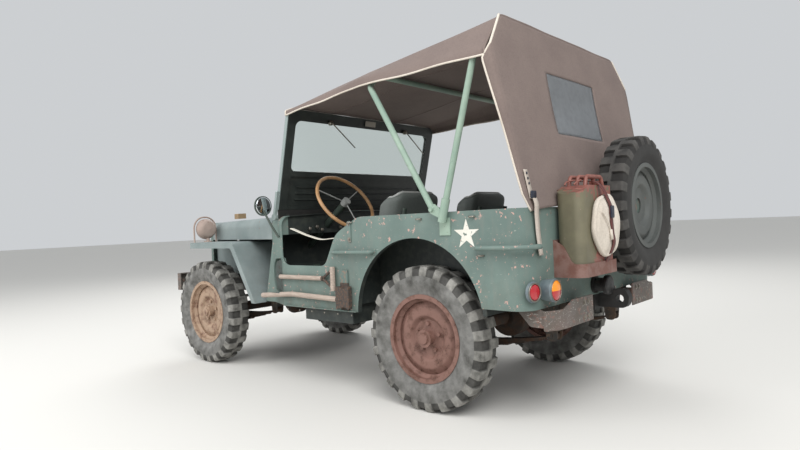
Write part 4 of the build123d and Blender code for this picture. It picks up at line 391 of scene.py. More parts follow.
# Bonnet's blocks: brown bare wood
BLOCK_WOOD = block_wood("weathered_block_wood", "#a68d6c", "#6f5c46")
# Steering wheel: tan-orange moulded rim on grey steel spokes
RIM_TAN = rim_finish("tan_rim_on_steel_spokes")
# Seal: black rubber, half matt, with brown grime
BLACK_RUBBER = plain("black_rubber", "#1b1b1a", 0.7, speck="#3a3733")
# Windscreen: clear glass that hardly bends what is behind it
SCREEN_GLASS = plain("clear_windscreen_glass", "#e6eeea", 0.03, Transmission_Weight=0.96, IOR=1.08)
# Curtain's window: cloudy grey sheet that lets nearly half of the light through
CLOUDY_SHEET = plain("cloudy_clear_sheet", "#8d9093", 0.35, speck="#5c5d60", Transmission_Weight=0.45, IOR=1.1)
# Can's strap: dark red leather with a dull sheen
LEATHER = plain("dark_red_leather", "#5d2f2b", 0.55, speck="#3c1f1c")
# Buckles and eyelets: dark blue-black paint
BUCKLE = plain("dark_buckle_paint", "#23293a", 0.4, 0.3, speck="#4a4a48")
# Bolts, loops, wipers and knobs: dull steel with brown dirt
STEEL = plain("dull_bolt_steel", "#8a857c", 0.4, 0.8, speck="#5b4a3e")
# Mirror: bright silvered glass
MIRROR = plain("silvered_mirror", "#c9ced0", 0.04, 1.0)
# Front lamps: smooth pale glass, half clear
LAMP_GLASS = plain("clear_lamp_glass", "#dfe3e0", 0.08, Transmission_Weight=0.5, IOR=1.3)
# Tail lamps: glossy lens, amber over red
TAIL_LENS = lens_glass("amber_over_red_lens", LAMP_Z, "#e88a12", "#a3141a")
# Reflectors: glossy red lens with a faint painted glow, though nothing lights them
RED_LENS = lens_glass("red_reflector_glass", 0.0, "#a51722", "#a51722")
# Tail lamps' bodies: blue-grey drums, and the black trailer socket
LAMP_DRUM = lamp_finish("blue_grey_drums_and_black_socket")
# Dials: black faces behind glossy glass
DIAL = plain("black_dial", "#141516", 0.25, speck="#3a3a38")
# Stars: matt off-white, chipped to grey-green
STAR_PAINT = worn_paint("worn_white_star_paint", "#d9d6cc", "#cfccc0", "#66736a", chips=0.62, mud=0.2)

NODE_PAINT = [
    (FRAME_PAINT, "frame_rails propeller_shafts tie_rods drag_link"),
    (BUMPER_PAINT, "bumpers"),
    (HOOK_PAINT, "pintle_hook"),
    (MUDDY_IRON, "front_axle rear_axle leaf_springs engine_block pitman_arm bellcrank knuckle_left knuckle_right"),
    (RUST_SHEET, "exhaust"),
    (TUB_PAINT, "body_tub cowl"),
    (WING_PAINT, "bonnet front_wings"),
    (BLOCK_WOOD, "bonnet_blocks"),
    (BODY_PAINT, "grille body_handles"),
    (DARK_PAINT, "headlamps seat_frames fuel_tank steering_column pedals_levers mirror"),
    (LAMP_PAINT, "driving_lamp"),
    (SCREEN_PAINT, "windscreen_frame"),
    (SCREEN_GLASS, "windscreen_glass"),
    (CANVAS, "canvas_top"),
    (CLOUDY_SHEET, "curtain_window"),
    (BOW_PAINT, "top_bows"),
    (SEAT_CLOTH, "front_seat_pads rear_seat_pads"),
    (RIM_TAN, "steering_wheel"),
    (TYRE_RUBBER, "tyre_front_left tyre_front_right tyre_rear_left tyre_rear_right"),
    (FRONT_WHEEL, "wheel_front_left wheel_front_right"),
    (REAR_WHEEL, "wheel_rear_left wheel_rear_right"),
    (SPARE_RUBBER, "spare_tyre"),
    (SPARE_WHEEL, "spare_wheel"),
    (CARRIER_PAINT, "rear_carriers"),
    (CAN_PAINT, "jerrycan"),
    (CREAM_CANVAS, "canvas_bucket"),
    (TOOL_WOOD, "shovel_and_axe"),
    (LAMP_DRUM, "tail_lamps_socket"),
    (DOOR_WEBBING, "door_strap"),
]
for material, nodes in NODE_PAINT:
    for node in nodes.split():
        mesh = NODES[node].data
        mesh.materials.clear()
        mesh.materials.append(material)


# Mesh helpers

def added(name, data):
    """New object with this data, in the scene."""
    obj = bpy.data.objects.new(name, data)
    bpy.context.scene.collection.objects.link(obj)
    return obj


def piece(name, parts, material, body="car", smooth=True):
    """One mesh object from (points, faces) parts, riding on a CAD body."""
    points, faces = [], []
    for part_points, part_faces in parts:
        start = len(points)
        points.extend(tuple(map(float, p)) for p in part_points)
        faces.extend(tuple(int(i) + start for i in face) for face in part_faces)
    mesh = bpy.data.meshes.new(name)
    mesh.from_pydata(points, [], faces)
    mesh.validate()
    mesh.materials.append(material)
    mesh.polygons.foreach_set("use_smooth", [smooth] * len(mesh.polygons))
    obj = added(name, mesh)
    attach(obj, body)
    return obj


def grid(points, close_rows=False, close_columns=False, keep=None):
    """Faces over an array of rows and columns of points; keep(row, column) leaves cells out."""
    rows, columns = points.shape[:2]
    i = np.arange(rows if close_rows else rows - 1)[:, None]
    j = np.arange(columns if close_columns else columns - 1)
    a, b = (i + 1) % rows, (j + 1) % columns
    corners = (i * columns + j, i * columns + b, a * columns + b, a * columns + j)
    faces = np.stack(np.broadcast_arrays(*corners), 2)
    faces = faces[keep(i, j)] if keep else faces.reshape(-1, 4)
    return points.reshape(-1, 3), faces.tolist()


def loft(rings):
    """Skin over closed sections of equal point counts, with flat ends."""
    points, faces = grid(np.array(rings), False, True)
    count = len(rings[0])
    faces.append(tuple(range(count))[::-1])
    faces.append(tuple(range((len(rings) - 1) * count, len(rings) * count)))
    return points, faces


def directions(path, closed=False):
    """Unit vectors along a path, from each point's neighbours."""
    ways = np.roll(path, -1, 0) - np.roll(path, 1, 0) if closed else np.gradient(path, axis=0)
    return ways / np.linalg.norm(ways, axis=1)[:, None]


def rod(path, radius, sides=10, closed=False):
    """Round bar along a path: circles carried along it without twist, with flat ends unless it is closed."""
    path = np.array(path, float)
    ways = directions(path, closed)
    side = np.cross(ways[0], (0, 0, 1) if abs(ways[0][2]) < 0.9 else (1, 0, 0))
    angles = np.arange(sides) * 2 * math.pi / sides
    rings = []
    for point, way in zip(path, ways):
        side = side - way * (side @ way)
        side /= np.linalg.norm(side)
        other = np.cross(way, side)
        rings.append(point + radius * (np.outer(np.cos(angles), side) + np.outer(np.sin(angles), other)))
    return grid(np.array(rings), True, True) if closed else loft(rings)


def turned(profile, centre, axis, sides=40):
    """Surface of revolution from (along, radius) rows about an axis through centre."""
    axis = np.array(axis, float)
    axis /= np.linalg.norm(axis)
    side = np.cross(axis, (0, 0, 1) if abs(axis[2]) < 0.9 else (1, 0, 0))
    side /= np.linalg.norm(side)
    other = np.cross(axis, side)
    angles = np.arange(sides) * 2 * math.pi / sides
    around = np.outer(np.cos(angles), side) + np.outer(np.sin(angles), other)
    return loft([np.array(centre) + along * axis + max(radius, 1e-5) * around for along, radius in profile])


def plate(outline, origin, right, up, thick, edge=0.001):
    """Flat plate with chamfered edges from a 2-D outline; it stands out of its plane by thick."""
    outline = np.array(outline, float)
    right, up = np.array(right, float), np.array(up, float)
    out = np.cross(right, up)
    centre = outline.mean(0)
    rings = []
    for depth, shrink in ((0, 0), (thick - edge, 0), (thick, edge)):
        inward = centre - outline
        inward /= np.maximum(np.linalg.norm(inward, axis=1), 1e-9)[:, None]
        flat = outline + inward * shrink
        rings.append(np.array(origin) + np.outer(flat[:, 0], right) + np.outer(flat[:, 1], up) + out * depth)
    return loft(rings)


def round_box(width, height, radius, steps=5):
    """Outline of a rectangle with round corners."""
    points = []
    for quarter, (x, y) in enumerate([(1, 1), (-1, 1), (-1, -1), (1, -1)]):
        for i in range(steps + 1):
            angle = (quarter + i / steps) * math.pi / 2
            points.append((x * (width / 2 - radius) + radius * math.cos(angle),
                           y * (height / 2 - radius) + radius * math.sin(angle)))
    return points


def bolt(place, way, radius=0.007, high=0.005):
    """Hexagon bolt head with its washer."""
    place, way = np.array(place, float), np.array(way, float)
    washer = turned([(0, radius * 1.7), (0.0015, radius * 1.7)], place, way, 16)
    head = turned([(0.0015, radius), (high * 0.8, radius), (high, radius * 0.85)], place, way, 6)
    return [washer, head]


def tail_plate(width, height, radius, place, thick):
    """Plate with round corners that faces the rear and stands out of its place by thick."""
    return plate(round_box(width, height, radius), place, (-1, 0, 0), (0, 0, 1), thick)


def rivet(place, way, radius=0.006):
    """Low round rivet head."""
    return turned([(0, radius), (0.001, radius * 0.95), (0.0022, radius * 0.6), (0.0026, radius * 0.2)],
                  np.array(place, float), way, 12)


def hoop(centre, across, radius, thick, count=36):
    """Closed round bar along a circle round centre, in the plane of across and +Z."""
    turns = np.linspace(0, 2 * math.pi, count + 1)[:-1]
    spokes = np.outer(np.cos(turns), across) + np.outer(np.sin(turns), (0, 0, 1))
    return rod(np.array(centre, float) + radius * spokes, thick, 6, True)


def smooth_rows(points, passes, axis):
    """Round off the corners of sampled sections, with their ends kept."""
    for _ in range(passes):
        middle = points.take(range(1, points.shape[axis] - 1), axis)
        before = points.take(range(0, points.shape[axis] - 2), axis)
        after = points.take(range(2, points.shape[axis]), axis)
        soft = (before + 2 * middle + after) / 4
        ends = [points.take([0], axis), points.take([points.shape[axis] - 1], axis)]
        points = np.concatenate([ends[0], soft, ends[1]], axis)
    return points


def normals(points):
    """Unit normals of a grid of points."""
    across = np.gradient(points, axis=1)
    along = np.gradient(points, axis=0)
    normal = np.cross(across, along)
    return normal / np.maximum(np.linalg.norm(normal, axis=2), 1e-9)[:, :, None]


def thicken(obj, thickness):
    """Cloth thickness inwards from the outer face."""
    solid = obj.modifiers.new("cloth_thickness", "SOLIDIFY")
    solid.thickness = thickness
    solid.offset = -1


# Canvas top

CLOTH_THICK, SEAM_THICK = 0.0022, 0.0015
ROOF_STATIONS = [
    # y, ridge z, half width of the flat, shoulder z, hem z, half width at the hem
    (FRONT_AXLE + 1.040, 1.669, 0.640, 1.646, 1.620, 0.698),
    (FRONT_AXLE + 1.729, 1.761, 0.640, 1.699, 1.659, 0.754),
    (REAR_AXLE + 0.4735, 1.859, 0.622, 1.683, 1.655, 0.754),
]
ROOF_SAG = [0.008, 0.022]


def runs(*spans):
    """Places in even steps over spans of (start, end, cells) that follow each other."""
    places = [np.linspace(start, end, cells + 1)[:-1] for start, end, cells in spans]
    return np.concatenate([*places, [spans[-1][1]]])


def roof_grid(rows_per_span=34):
    """Roof cloth from the windscreen over both bows, with its side drops, sagging between the bows."""
    across = runs((0, 1, 7), (1, 2, 12), (2, 3, 60), (3, 4, 12), (4, 5, 7))
    rows = []
    for span, (first, second) in enumerate(zip(ROOF_STATIONS, ROOF_STATIONS[1:])):
        steps = rows_per_span + (1 if span == len(ROOF_STATIONS) - 2 else 0)
        for i in range(steps):
            share = i / rows_per_span
            y, ridge, flat, shoulder, hem, half = (a + (b - a) * share for a, b in zip(first, second))
            dip = 4 * share * (1 - share)
            wave = 0.004 * math.sin(share * 9.4 + span) * dip
            corners = [(half, hem + wave), (half - 0.012 * dip, shoulder), (flat, ridge),
                       (-flat, ridge), (-half + 0.012 * dip, shoulder), (-half, hem - wave)]
            xs, zs = (np.interp(across, range(6), values) for values in zip(*corners))
            line = np.stack([xs, np.full(len(xs), y), zs], 1)
            inward = np.clip(1 - (np.abs(line[:, 0]) / (flat + 0.02)) ** 4, 0, 1)
            line[:, 2] -= ROOF_SAG[span] * dip * inward
            rows.append(line)
    points = smooth_rows(np.array(rows), 3, 1)
    x, y = points[:, :, 0], points[:, :, 1]
    ripple = 0.0016 * np.sin(9 * y + 14 * np.abs(x)) * np.sin(5 * x + 2.0 * y + 0.6)
    points[:, :, 2] += ripple
    return points


def strip(points, rows, columns, lift, flipped=False):
    """Part of a cloth grid lifted off its face along the normals, for a seam, binding or patch."""
    cut = slice(rows[0], rows[1] + 1), slice(columns[0], columns[1] + 1)
    part = points[cut] + normals(points)[cut] * lift
    return grid(part[:, ::-1] if flipped else part)


CURTAIN_LOW = 0.968
CURTAIN_EDGE = [
    # z, half width
    (CURTAIN_LOW, 0.672), (1.040, 0.708), (1.655, 0.752), (1.700, 0.748), (1.858, 0.624),
]
CURTAIN_WRAP = [0.050, 0.034, 0.016]
CURTAIN_SLOPE = -0.1756
WINDOW_HALF = 0.261
WINDOW_LOW, WINDOW_HIGH = 1.337, 1.643
# Share of the curtain's half width up to the window's edge, in grid lines
WINDOW_SHARE = 0.36
# Cells of the curtain's grid beside, across, below and up the window
SIDE_CELLS, WINDOW_CELLS, LOW_CELLS, WINDOW_ROWS = 17, 26, 25, 19


def curtain_y(z):
    """The curtain's plane: just behind the tail at the rail, leaning forward as it rises."""
    return TAIL + 0.006 + (z - RAIL_TOP) * CURTAIN_SLOPE


def curtain_grid():
    """Rear curtain from the rear bow down outside the tub, with grid lines on the window's edges.

    Its belly and folds are sines of height and width; the low folds and the lifted hem fade upwards."""
    heights = runs((CURTAIN_LOW, WINDOW_LOW, LOW_CELLS), (WINDOW_LOW, WINDOW_HIGH, WINDOW_ROWS),
                   (WINDOW_HIGH, 1.856, 15))
    across = runs((-1, -WINDOW_SHARE, SIDE_CELLS), (-WINDOW_SHARE, WINDOW_SHARE, WINDOW_CELLS),
                  (WINDOW_SHARE, 1, SIDE_CELLS))
    zs, halves = zip(*CURTAIN_EDGE)
    z, u = np.meshgrid(heights, across, indexing="ij")
    half, side, rise = np.interp(z, zs, halves), np.abs(u), z - CURTAIN_LOW
    moved = np.interp(side, [WINDOW_SHARE, 1], [1, 0]) * np.sign(u) * np.minimum(1, side / WINDOW_SHARE)
    x = u * half + (WINDOW_HALF - WINDOW_SHARE * half) * moved
    bulge = np.sin(math.pi * (rise / 0.89))
    belly = 0.012 * bulge * (1 - u * u)
    fold = 0.004 * np.sin(11 * x + 5 * z) * bulge ** 2
    low_fold = 0.003 * np.sin(26 * x + 3) * np.exp(-rise / 0.12) * np.where(z > 1.0, 1, 0.4)
    lifted = 0.026 * (1 - side ** 3) * np.exp(-rise / 0.09)
    points = np.stack([x, curtain_y(z) - belly + fold + low_fold, z + lifted], 2)
    wrap = np.interp(heights, [CURTAIN_LOW, 1.64, 1.70], [0.2, 1, 0])[:, None]
    sides = []
    for edge, forward in ((points[:, 0], CURTAIN_WRAP), (points[:, -1], CURTAIN_WRAP[::-1])):
        columns = np.repeat(edge[:, None, :], len(forward), 1)
        columns[:, :, 1] -= np.array(forward) * wrap
        columns[:, :, 0] += np.sign(edge[0, 0]) * 0.004 * wrap
        sides.append(columns)
    return np.concatenate([sides[0], points, sides[1]], 1)


def canvas_roof():
    """Roof cloth with its seams, the pale binding of its edges and the piping over the rear bow."""
    roof = roof_grid()
    top = piece("canvas_roof", [grid(roof[:, ::-1])], CANVAS)
    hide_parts("canvas_top")
    thicken(top, CLOTH_THICK)
    rows, last = len(roof) - 1, roof.shape[1] - 1
    # Two long seams along grid columns, a cross seam over the front bow and the hem at the windscreen
    seams = [strip(roof, (0, rows), (34, 35), CLOTH_THICK, True), strip(roof, (0, rows), (62, 63), CLOTH_THICK, True),
             strip(roof, (33, 34), (0, last), CLOTH_THICK, True), strip(roof, (0, 2), (0, last), 0.0024, True)]
    seam = piece("roof_seams", seams, CANVAS)
    thicken(seam, SEAM_THICK)
    edges = [rod(edge, 0.0048, 8) for edge in (roof[:, 0], roof[:, last], roof[0])]
    binding = piece("roof_binding", edges, CREAM_CANVAS)
    piping = piece("rear_bow_piping", [rod(roof[-1] + (0, 0.001, 0.0), 0.006, 8)], CANVAS)


def rear_curtain():
    """Curtain cloth cut out round its clear window, with a stitched frame, a cross seam and pale binding."""
    back = curtain_grid()
    left, bottom = SIDE_CELLS + len(CURTAIN_WRAP), LOW_CELLS
    right, top_row, last = left + WINDOW_CELLS, bottom + WINDOW_ROWS, back.shape[1] - 1
    cloth = grid(back, keep=lambda i, j: (i < bottom) | (i >= top_row) | (j < left) | (j >= right))
    curtain = piece("rear_curtain", [cloth], CANVAS)
    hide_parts("canvas_top")
    thicken(curtain, CLOTH_THICK)
    border = [strip(back, rows, columns, 0.002) for rows, columns in (
        ((bottom - 2, bottom), (left - 1, right + 1)), ((top_row, top_row + 2), (left - 1, right + 1)),
        ((bottom, top_row), (left - 1, left)), ((bottom, top_row), (right, right + 1)), ((12, 13), (0, last)))]
    patch = piece("curtain_seams", border, CANVAS)
    thicken(patch, SEAM_THICK)
    edges = [rod(back[:, column], 0.0055, 8) for column in (0, last)]
    edging = piece("curtain_binding", edges + [strip(back, (0, 1), (0, last), 0.0028)], CREAM_CANVAS)
    pane = back[bottom:top_row + 1, left:right + 1].copy()
    pane[:, :, 1] -= 0.001
    window = piece("curtain_window_sheet", [grid(pane)], CLOUDY_SHEET)
    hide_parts("curtain_window")
    thicken(window, 0.0012)


# Tyres

LUG_COUNT = 23
LUG_DEPTH = 0.013
TREAD_R = TYRE_R - LUG_DEPTH
TYRE_HALF = 0.0795
# Edges sharper than this, in radians, stay crisp
LUG_EDGE = 0.6
# Middle strip of the tread, where the lugs of both sides reach over each other
LUG_OVERLAP = 0.0075
# Half of the tyre's section, from the bead over the side wall to the middle of the tread
HALF_SECTION = [
    # along the axle, radius, share of the lug's depth
    (-0.057, 0.205, 0), (-0.058, 0.224, 0), (-0.066, 0.243, 0), (-0.075, 0.262, 0), (-0.0775, 0.283, 0),
    (-0.0765, 0.300, 0), (-0.0735, 0.312, 0), (-0.0732, 0.3135, 0.32), (-0.071, 0.326, 0.42), (-0.067, 0.337, 0.7),
    (-0.062, TREAD_R - 0.003, 1), (-0.045, TREAD_R, 1), (-0.024, TREAD_R, 1), (-0.009, TREAD_R, 1),
    (-0.006, TREAD_R, 1),
]
TYRE_SECTION = HALF_SECTION + [(-along, radius, share) for along, radius, share in HALF_SECTION[::-1]]
# Places round the tyre within one lug's pitch: left lugs stand from 0.23 to 0.69, right ones from 0.73 to 0.19
PITCH_PLACES = np.array([0.0, 0.04, 0.19, 0.23, 0.36, 0.5, 0.54, 0.69, 0.73, 0.86])


def tyre_grid(centre):
    """Tyre round an axle along X, as sections at equal pitches, and a mark on the points of its grooves.

    A lug adds its depth to the radius; its flanks, where the share is below 1, also stand out 4 mm sideways."""
    along, radius, share = np.array(TYRE_SECTION).T
    angle = 2 * math.pi * (np.arange(LUG_COUNT)[:, None] + PITCH_PLACES + 0.29).reshape(-1, 1) / LUG_COUNT
    place = np.tile(PITCH_PLACES, LUG_COUNT)[:, None]
    left, right = (place >= 0.23) & (place <= 0.69), (place >= 0.73) | (place <= 0.19)
    on = (left & (along < LUG_OVERLAP)) | (right & (along > -LUG_OVERLAP))
    r = radius + LUG_DEPTH * share * on
    flank = 0.004 * share * (on & (share < 1))
    x = np.clip(along + np.sign(along) * flank, -TYRE_HALF, TYRE_HALF)
    points = np.stack([centre[0] + x, centre[1] + r * np.sin(angle), centre[2] + r * np.cos(angle)], 2)
    return points, np.where(on | (share == 0), 0.0, 1.0)


def finish_tyre(tyre, grooves, node):
    """Marks for the shader on grooves and side walls, the CAD node it stands for, and crisp lug edges."""
    walls = np.zeros_like(grooves)
    walls[:, :7] = walls[:, -7:] = 1.0
    for name, marks in (("groove", grooves), ("wall", walls)):
        attribute = tyre.data.attributes.new(name, "FLOAT", "POINT")
        attribute.data.foreach_set("value", marks.astype(np.float32).ravel())
    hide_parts(node)
    tyre.data.shade_smooth()
    split = tyre.modifiers.new("lug_edges", "EDGE_SPLIT")
    split.split_angle = LUG_EDGE


def tyres():
    """Four road tyres, and the spare with its axle along Y."""
    for place in ("front_left", "front_right", "rear_left", "rear_right"):
        low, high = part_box(f"tyre_{place}")
        points, grooves = tyre_grid((low + high) / 2)
        tyre = piece(f"lugged_tyre_{place}", [grid(points, True, False)], TYRE_RUBBER, f"road_wheel_{place}")
        finish_tyre(tyre, grooves, f"tyre_{place}")
    low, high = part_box("spare_tyre")
    points, grooves = tyre_grid((0, 0, 0))
    points = np.stack([-points[:, :, 1], points[:, :, 0], points[:, :, 2]], 2) + np.array((low + high) / 2)
    tyre = piece("lugged_spare_tyre", [grid(points, True, False)], SPARE_RUBBER)
    finish_tyre(tyre, grooves, "spare_tyre")


# Star on the body's sides

def star(side):
    """Plain five-pointed star painted on the body's side; its inner corners lie at 0.382 of its radius."""
    centre_y, centre_z, radius = REAR_AXLE + 0.326, 0.876, 0.072
    points = []
    for i in range(10):
        angle = math.pi / 2 + i * math.pi / 5
        r = radius if i % 2 == 0 else radius * 0.382
        points.append((r * math.cos(angle), r * math.sin(angle)))
    origin = (side * (BODY_SIDE + 0.0002), centre_y, centre_z)
    shape = plate(points, origin, (0, side, 0), (0, 0, 1), 0.0004, 0.0002)
    piece("star_left" if side > 0 else "star_right", [shape], STAR_PAINT, smooth=False)


# Seats

def pillow(low, high, edge, puff=0.012, rows=20, sides=16):
    """Closed cushion: rounded sections along y, fuller in the middle."""
    low, high = np.array(low, float), np.array(high, float)
    centre, half = (low + high) / 2, (high - low) / 2
    rings = []
    for i in range(rows + 1):
        turn = math.pi * i / rows
        y = -math.cos(turn)
        along = np.sign(y) * (abs(y) ** 0.5)
        shrink = 1 - edge * (1 - math.sin(turn) ** 0.5)
        angles = 2 * math.pi * np.arange(4 * sides) / (4 * sides)
        x = np.sign(np.cos(angles)) * np.abs(np.cos(angles)) ** 0.35
        z = np.sign(np.sin(angles)) * np.abs(np.sin(angles)) ** 0.45
        full = puff * math.sin(turn) * np.clip(z, 0, 1) * (1 - x ** 2)
        ring = np.stack([centre[0] + half[0] * x * shrink, np.full(len(x), centre[1] + half[1] * along),
                         centre[2] + half[2] * z * (0.25 + 0.75 * math.sin(turn) ** 0.5) + full], 1)
        rings.append(ring)
    points, faces = grid(np.array(rings), False, True)
    return points, [face[::-1] for face in faces]


SEATS = [
    # x of the seat's middle, place of its front edge
    (0.310, FRONT_AXLE + 1.225),
    (-0.352, FRONT_AXLE + 1.275),
]
# Seat backs: half width, how far the sides wrap forward, lowest and highest point, lean
BACK_HALF, BACK_WRAP = 0.205, 0.092
BACK_LOW, BACK_HIGH, BACK_LEAN = 0.890, 1.131, math.radians(12)
# Radius of the round upper corners
BACK_CORNER = 0.095


def back_pad(x, front):
    """Seat back whose thick rolled sides wrap forward, as rounded sections along its plan line."""
    height = BACK_HIGH - BACK_LOW
    plan = [(-BACK_HALF + 0.022, v) for v in np.linspace(-BACK_WRAP + 0.018, -0.02, 9)[:-1]]
    for i in range(9):
        angle = math.pi - (i / 8) * math.pi / 2
        plan.append((-BACK_HALF + 0.067 + 0.045 * math.cos(angle), -0.02 + 0.045 * math.sin(angle)))
    plan += [(t, 0.027) for t in np.linspace(-BACK_HALF + 0.09, 0, 8)]
    plan = np.array(plan + [(-a, b) for a, b in plan[-2::-1]])
    lean = np.array([[1, 0, 0], [0, math.cos(BACK_LEAN), math.sin(BACK_LEAN)],
                     [0, -math.sin(BACK_LEAN), math.cos(BACK_LEAN)]])
    origin = np.array([x, front + 0.43, BACK_LOW])
    angles = 2 * math.pi * np.arange(28) / 28
    side = np.copysign(np.abs(np.cos(angles)) ** 0.7, np.cos(angles))
    rise = np.copysign(np.abs(np.sin(angles)) ** 0.28, np.sin(angles))
    rings, rim = [], []
    for (u, v), way in zip(plan, directions(plan)):
        out = np.array([-way[1], way[0]])
        reach = max(0.0, abs(u) - (BACK_HALF - BACK_CORNER))
        top = height - 0.012 - (BACK_CORNER - math.sqrt(max(BACK_CORNER ** 2 - reach ** 2, 0)))
        top -= 0.05 * max(0.0, (-0.02 - v) / (BACK_WRAP - 0.038)) ** 1.5
        thick = 0.021 if abs(u) > BACK_HALF - 0.03 else 0.025
        end = 0.65 if abs(v + BACK_WRAP - 0.018) < 1e-6 else 1.0
        z = (top + 0.01) / 2 + rise * (top - 0.01) / 2 * (0.9 + 0.1 * end)
        crease = 0.002 * np.sin(z * 60 + u * 20)
        section = np.stack([u + out[0] * thick * end * side, v + out[1] * (thick * end * side + crease), z], 1)
        rings.append(origin + section @ lean.T)
        rim.append(origin + lean @ np.array([u - out[0] * 0.012, v - out[1] * 0.012, top - 0.001]))
    return loft(rings), rod(rim, 0.0095, 10)


def seats():
    """Back pad, cushion and rolled rim of both front seats."""
    for name, (x, front) in zip(("driver", "passenger"), SEATS):
        back, piping = back_pad(x, front)
        pad = piece(f"{name}_back_pad", [back], SEAT_CLOTH)
        low, high = (x - 0.16, front, 0.700), (x + 0.16, front + 0.428, 0.774)
        cushion = piece(f"{name}_cushion", [pillow(low, high, 0.06)], SEAT_CLOTH)
        # Rim in the light grey of the painted highlight
        seam = piece(f"{name}_piping", [piping], SEAT_RIM_HIGHLIGHT)
        for soft in (pad, cushion):
            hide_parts("front_seat_pads")


# Straps, bucket and can

def ribbon(path, across, width, thick=0.0022):
    """Flat strap along a path; across is the way of its width."""
    path = np.array(path, float)
    across = np.array(across, float) / np.linalg.norm(across)
    rows = []
    for point, way in zip(path, directions(path)):
        out = np.cross(way, across)
        out /= np.linalg.norm(out)
        rows.append([point + across * width / 2, point - across * width / 2,
                     point - across * width / 2 + out * thick, point + across * width / 2 + out * thick])
    return loft(rows)


def curve(points, steps=8):
    """Smooth path through a few points: cubics whose slope at a point is that between its neighbours."""
    points = np.array(points, float)
    padded = np.vstack([2 * points[0] - points[1], points, 2 * points[-1] - points[-2]])
    path = []
    for i in range(1, len(padded) - 2):
        a, b, c, d = padded[i - 1:i + 3]
        for t in np.arange(steps) / steps:
            path.append(0.5 * (2 * b + (c - a) * t + (2 * a - 5 * b + 4 * c - d) * t * t
                               + (3 * b - a - 3 * c + d) * t ** 3))
    path.append(points[-1])
    return np.array(path)


def curtain_strap():
    """Webbing strap on the curtain's left side: eyelets, buckle and the end that hangs down."""

    def upper_x(z):
        """Side place of the strap's upper part: 6 cm further out per metre of height."""
        return 0.677 + (z - 1.02) * 0.06

    high = [(upper_x(z), curtain_y(z) + 0.010, z) for z in (1.146, 1.10, 1.055, 1.02)]
    hang = [(0.674, curtain_y(1.045) + 0.016, 1.045), (0.668, curtain_y(1.0) + 0.022, 1.0),
            (0.656, TAIL + 0.018, 0.95), (0.640, TAIL + 0.013, 0.86), (0.625, TAIL + 0.014, 0.775)]
    piece("curtain_strap", [ribbon(curve(high), (1, 0, 0), 0.034), ribbon(curve(hang), (1, 0, 0), 0.036)], WEBBING)
    eyelets = [turned([(0, 0.006), (0.0008, 0.006), (0.0008, 0.003)], (upper_x(z), curtain_y(z) + 0.0122, z),
                      (0, 1, 0), 14) for z in (1.13, 1.108, 1.086)]
    piece("strap_eyelets", eyelets, BUCKLE)
    buckle = tail_plate(0.042, 0.032, 0.006, (0.677, curtain_y(1.035) + 0.017, 1.037), 0.006)
    piece("strap_buckle", [buckle], BUCKLE)


def bucket():
    """Canvas bucket folded flat: round, with a thick hem round its edge and folds down its face."""
    centre = (BUCKET_LOW + BUCKET_HIGH) / 2
    half_x, half_z = (BUCKET_HIGH.x - BUCKET_LOW.x) / 2, (BUCKET_HIGH.z - BUCKET_LOW.z) / 2
    near, deep = BUCKET_LOW.y, BUCKET_HIGH.y - BUCKET_LOW.y
    profile = [
        # share of the radius, share of the depth
        (0.9, 0.0), (0.97, 0.10), (1.0, 0.30), (0.985, 0.52), (0.95, 0.60), (0.91, 0.55), (0.87, 0.62),
        (0.78, 0.74), (0.64, 0.86), (0.48, 0.90), (0.32, 0.93), (0.16, 0.95), (0.02, 0.95),
    ]
    radius, depth = np.array(profile).T[:, :, None]
    angle = 2 * math.pi * np.arange(72) / 72
    x, z = radius * np.cos(angle), radius * np.sin(angle)
    fold = 0.10 * np.sin(9 * x + 2.2 * z) * (1 - radius ** 3) + 0.05 * np.sin(17 * x - 3 * z)
    fold = np.where((radius > 0.05) & (radius < 0.9), fold, 0)
    squash = 1 - 0.05 * np.sin(3 * angle + 0.6) ** 2
    y = near + deep * np.minimum(depth + fold * 0.8, 0.99)
    rings = np.stack([centre.x + half_x * x * squash, y, centre.z + half_z * z * squash], 2)
    points, faces = loft(rings)
    body = piece("folded_bucket", [(points, [face[::-1] for face in faces])], CREAM_CANVAS)
    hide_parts("canvas_bucket")
    out = BUCKET_HIGH.y + 0.001
    top, can_top = BUCKET_HIGH.z, CAN_HIGH.z
    x = centre.x + 0.02
    path = curve([(x + 0.03, CAN_LOW.y + 0.05, can_top - 0.028), (x + 0.02, CAN_HIGH.y + 0.004, can_top - 0.04),
                  (x, out + 0.001, top - 0.05), (x - 0.004, out + 0.003, centre.z + 0.05),
                  (x - 0.014, out + 0.003, centre.z - 0.03), (x - 0.03, out, centre.z - 0.09),
                  (x - 0.032, CAN_HIGH.y + 0.008, BUCKET_LOW.z - 0.02), (x - 0.026, CAN_HIGH.y + 0.006, 0.71)])
    piece("leather_strap", [ribbon(path, (1, 0, 0), 0.030, 0.003)], LEATHER)
    buckle = tail_plate(0.034, 0.056, 0.006, (x - 0.004, out + 0.005, centre.z + 0.06), 0.006)
    piece("leather_strap_buckle", [buckle], BUCKLE)
    toggle = rod([(x + 0.012, out + 0.004, centre.z - 0.02), (x + 0.004, out + 0.005, centre.z - 0.065)], 0.007, 10)
    tie = rod(curve([(x + 0.075, out - 0.004, centre.z + 0.06), (x + 0.04, out + 0.003, centre.z + 0.02),
                     (x + 0.012, out + 0.004, centre.z - 0.025)]), 0.003, 6)
    piece("bucket_toggle", [toggle, tie], CREAM_CANVAS)


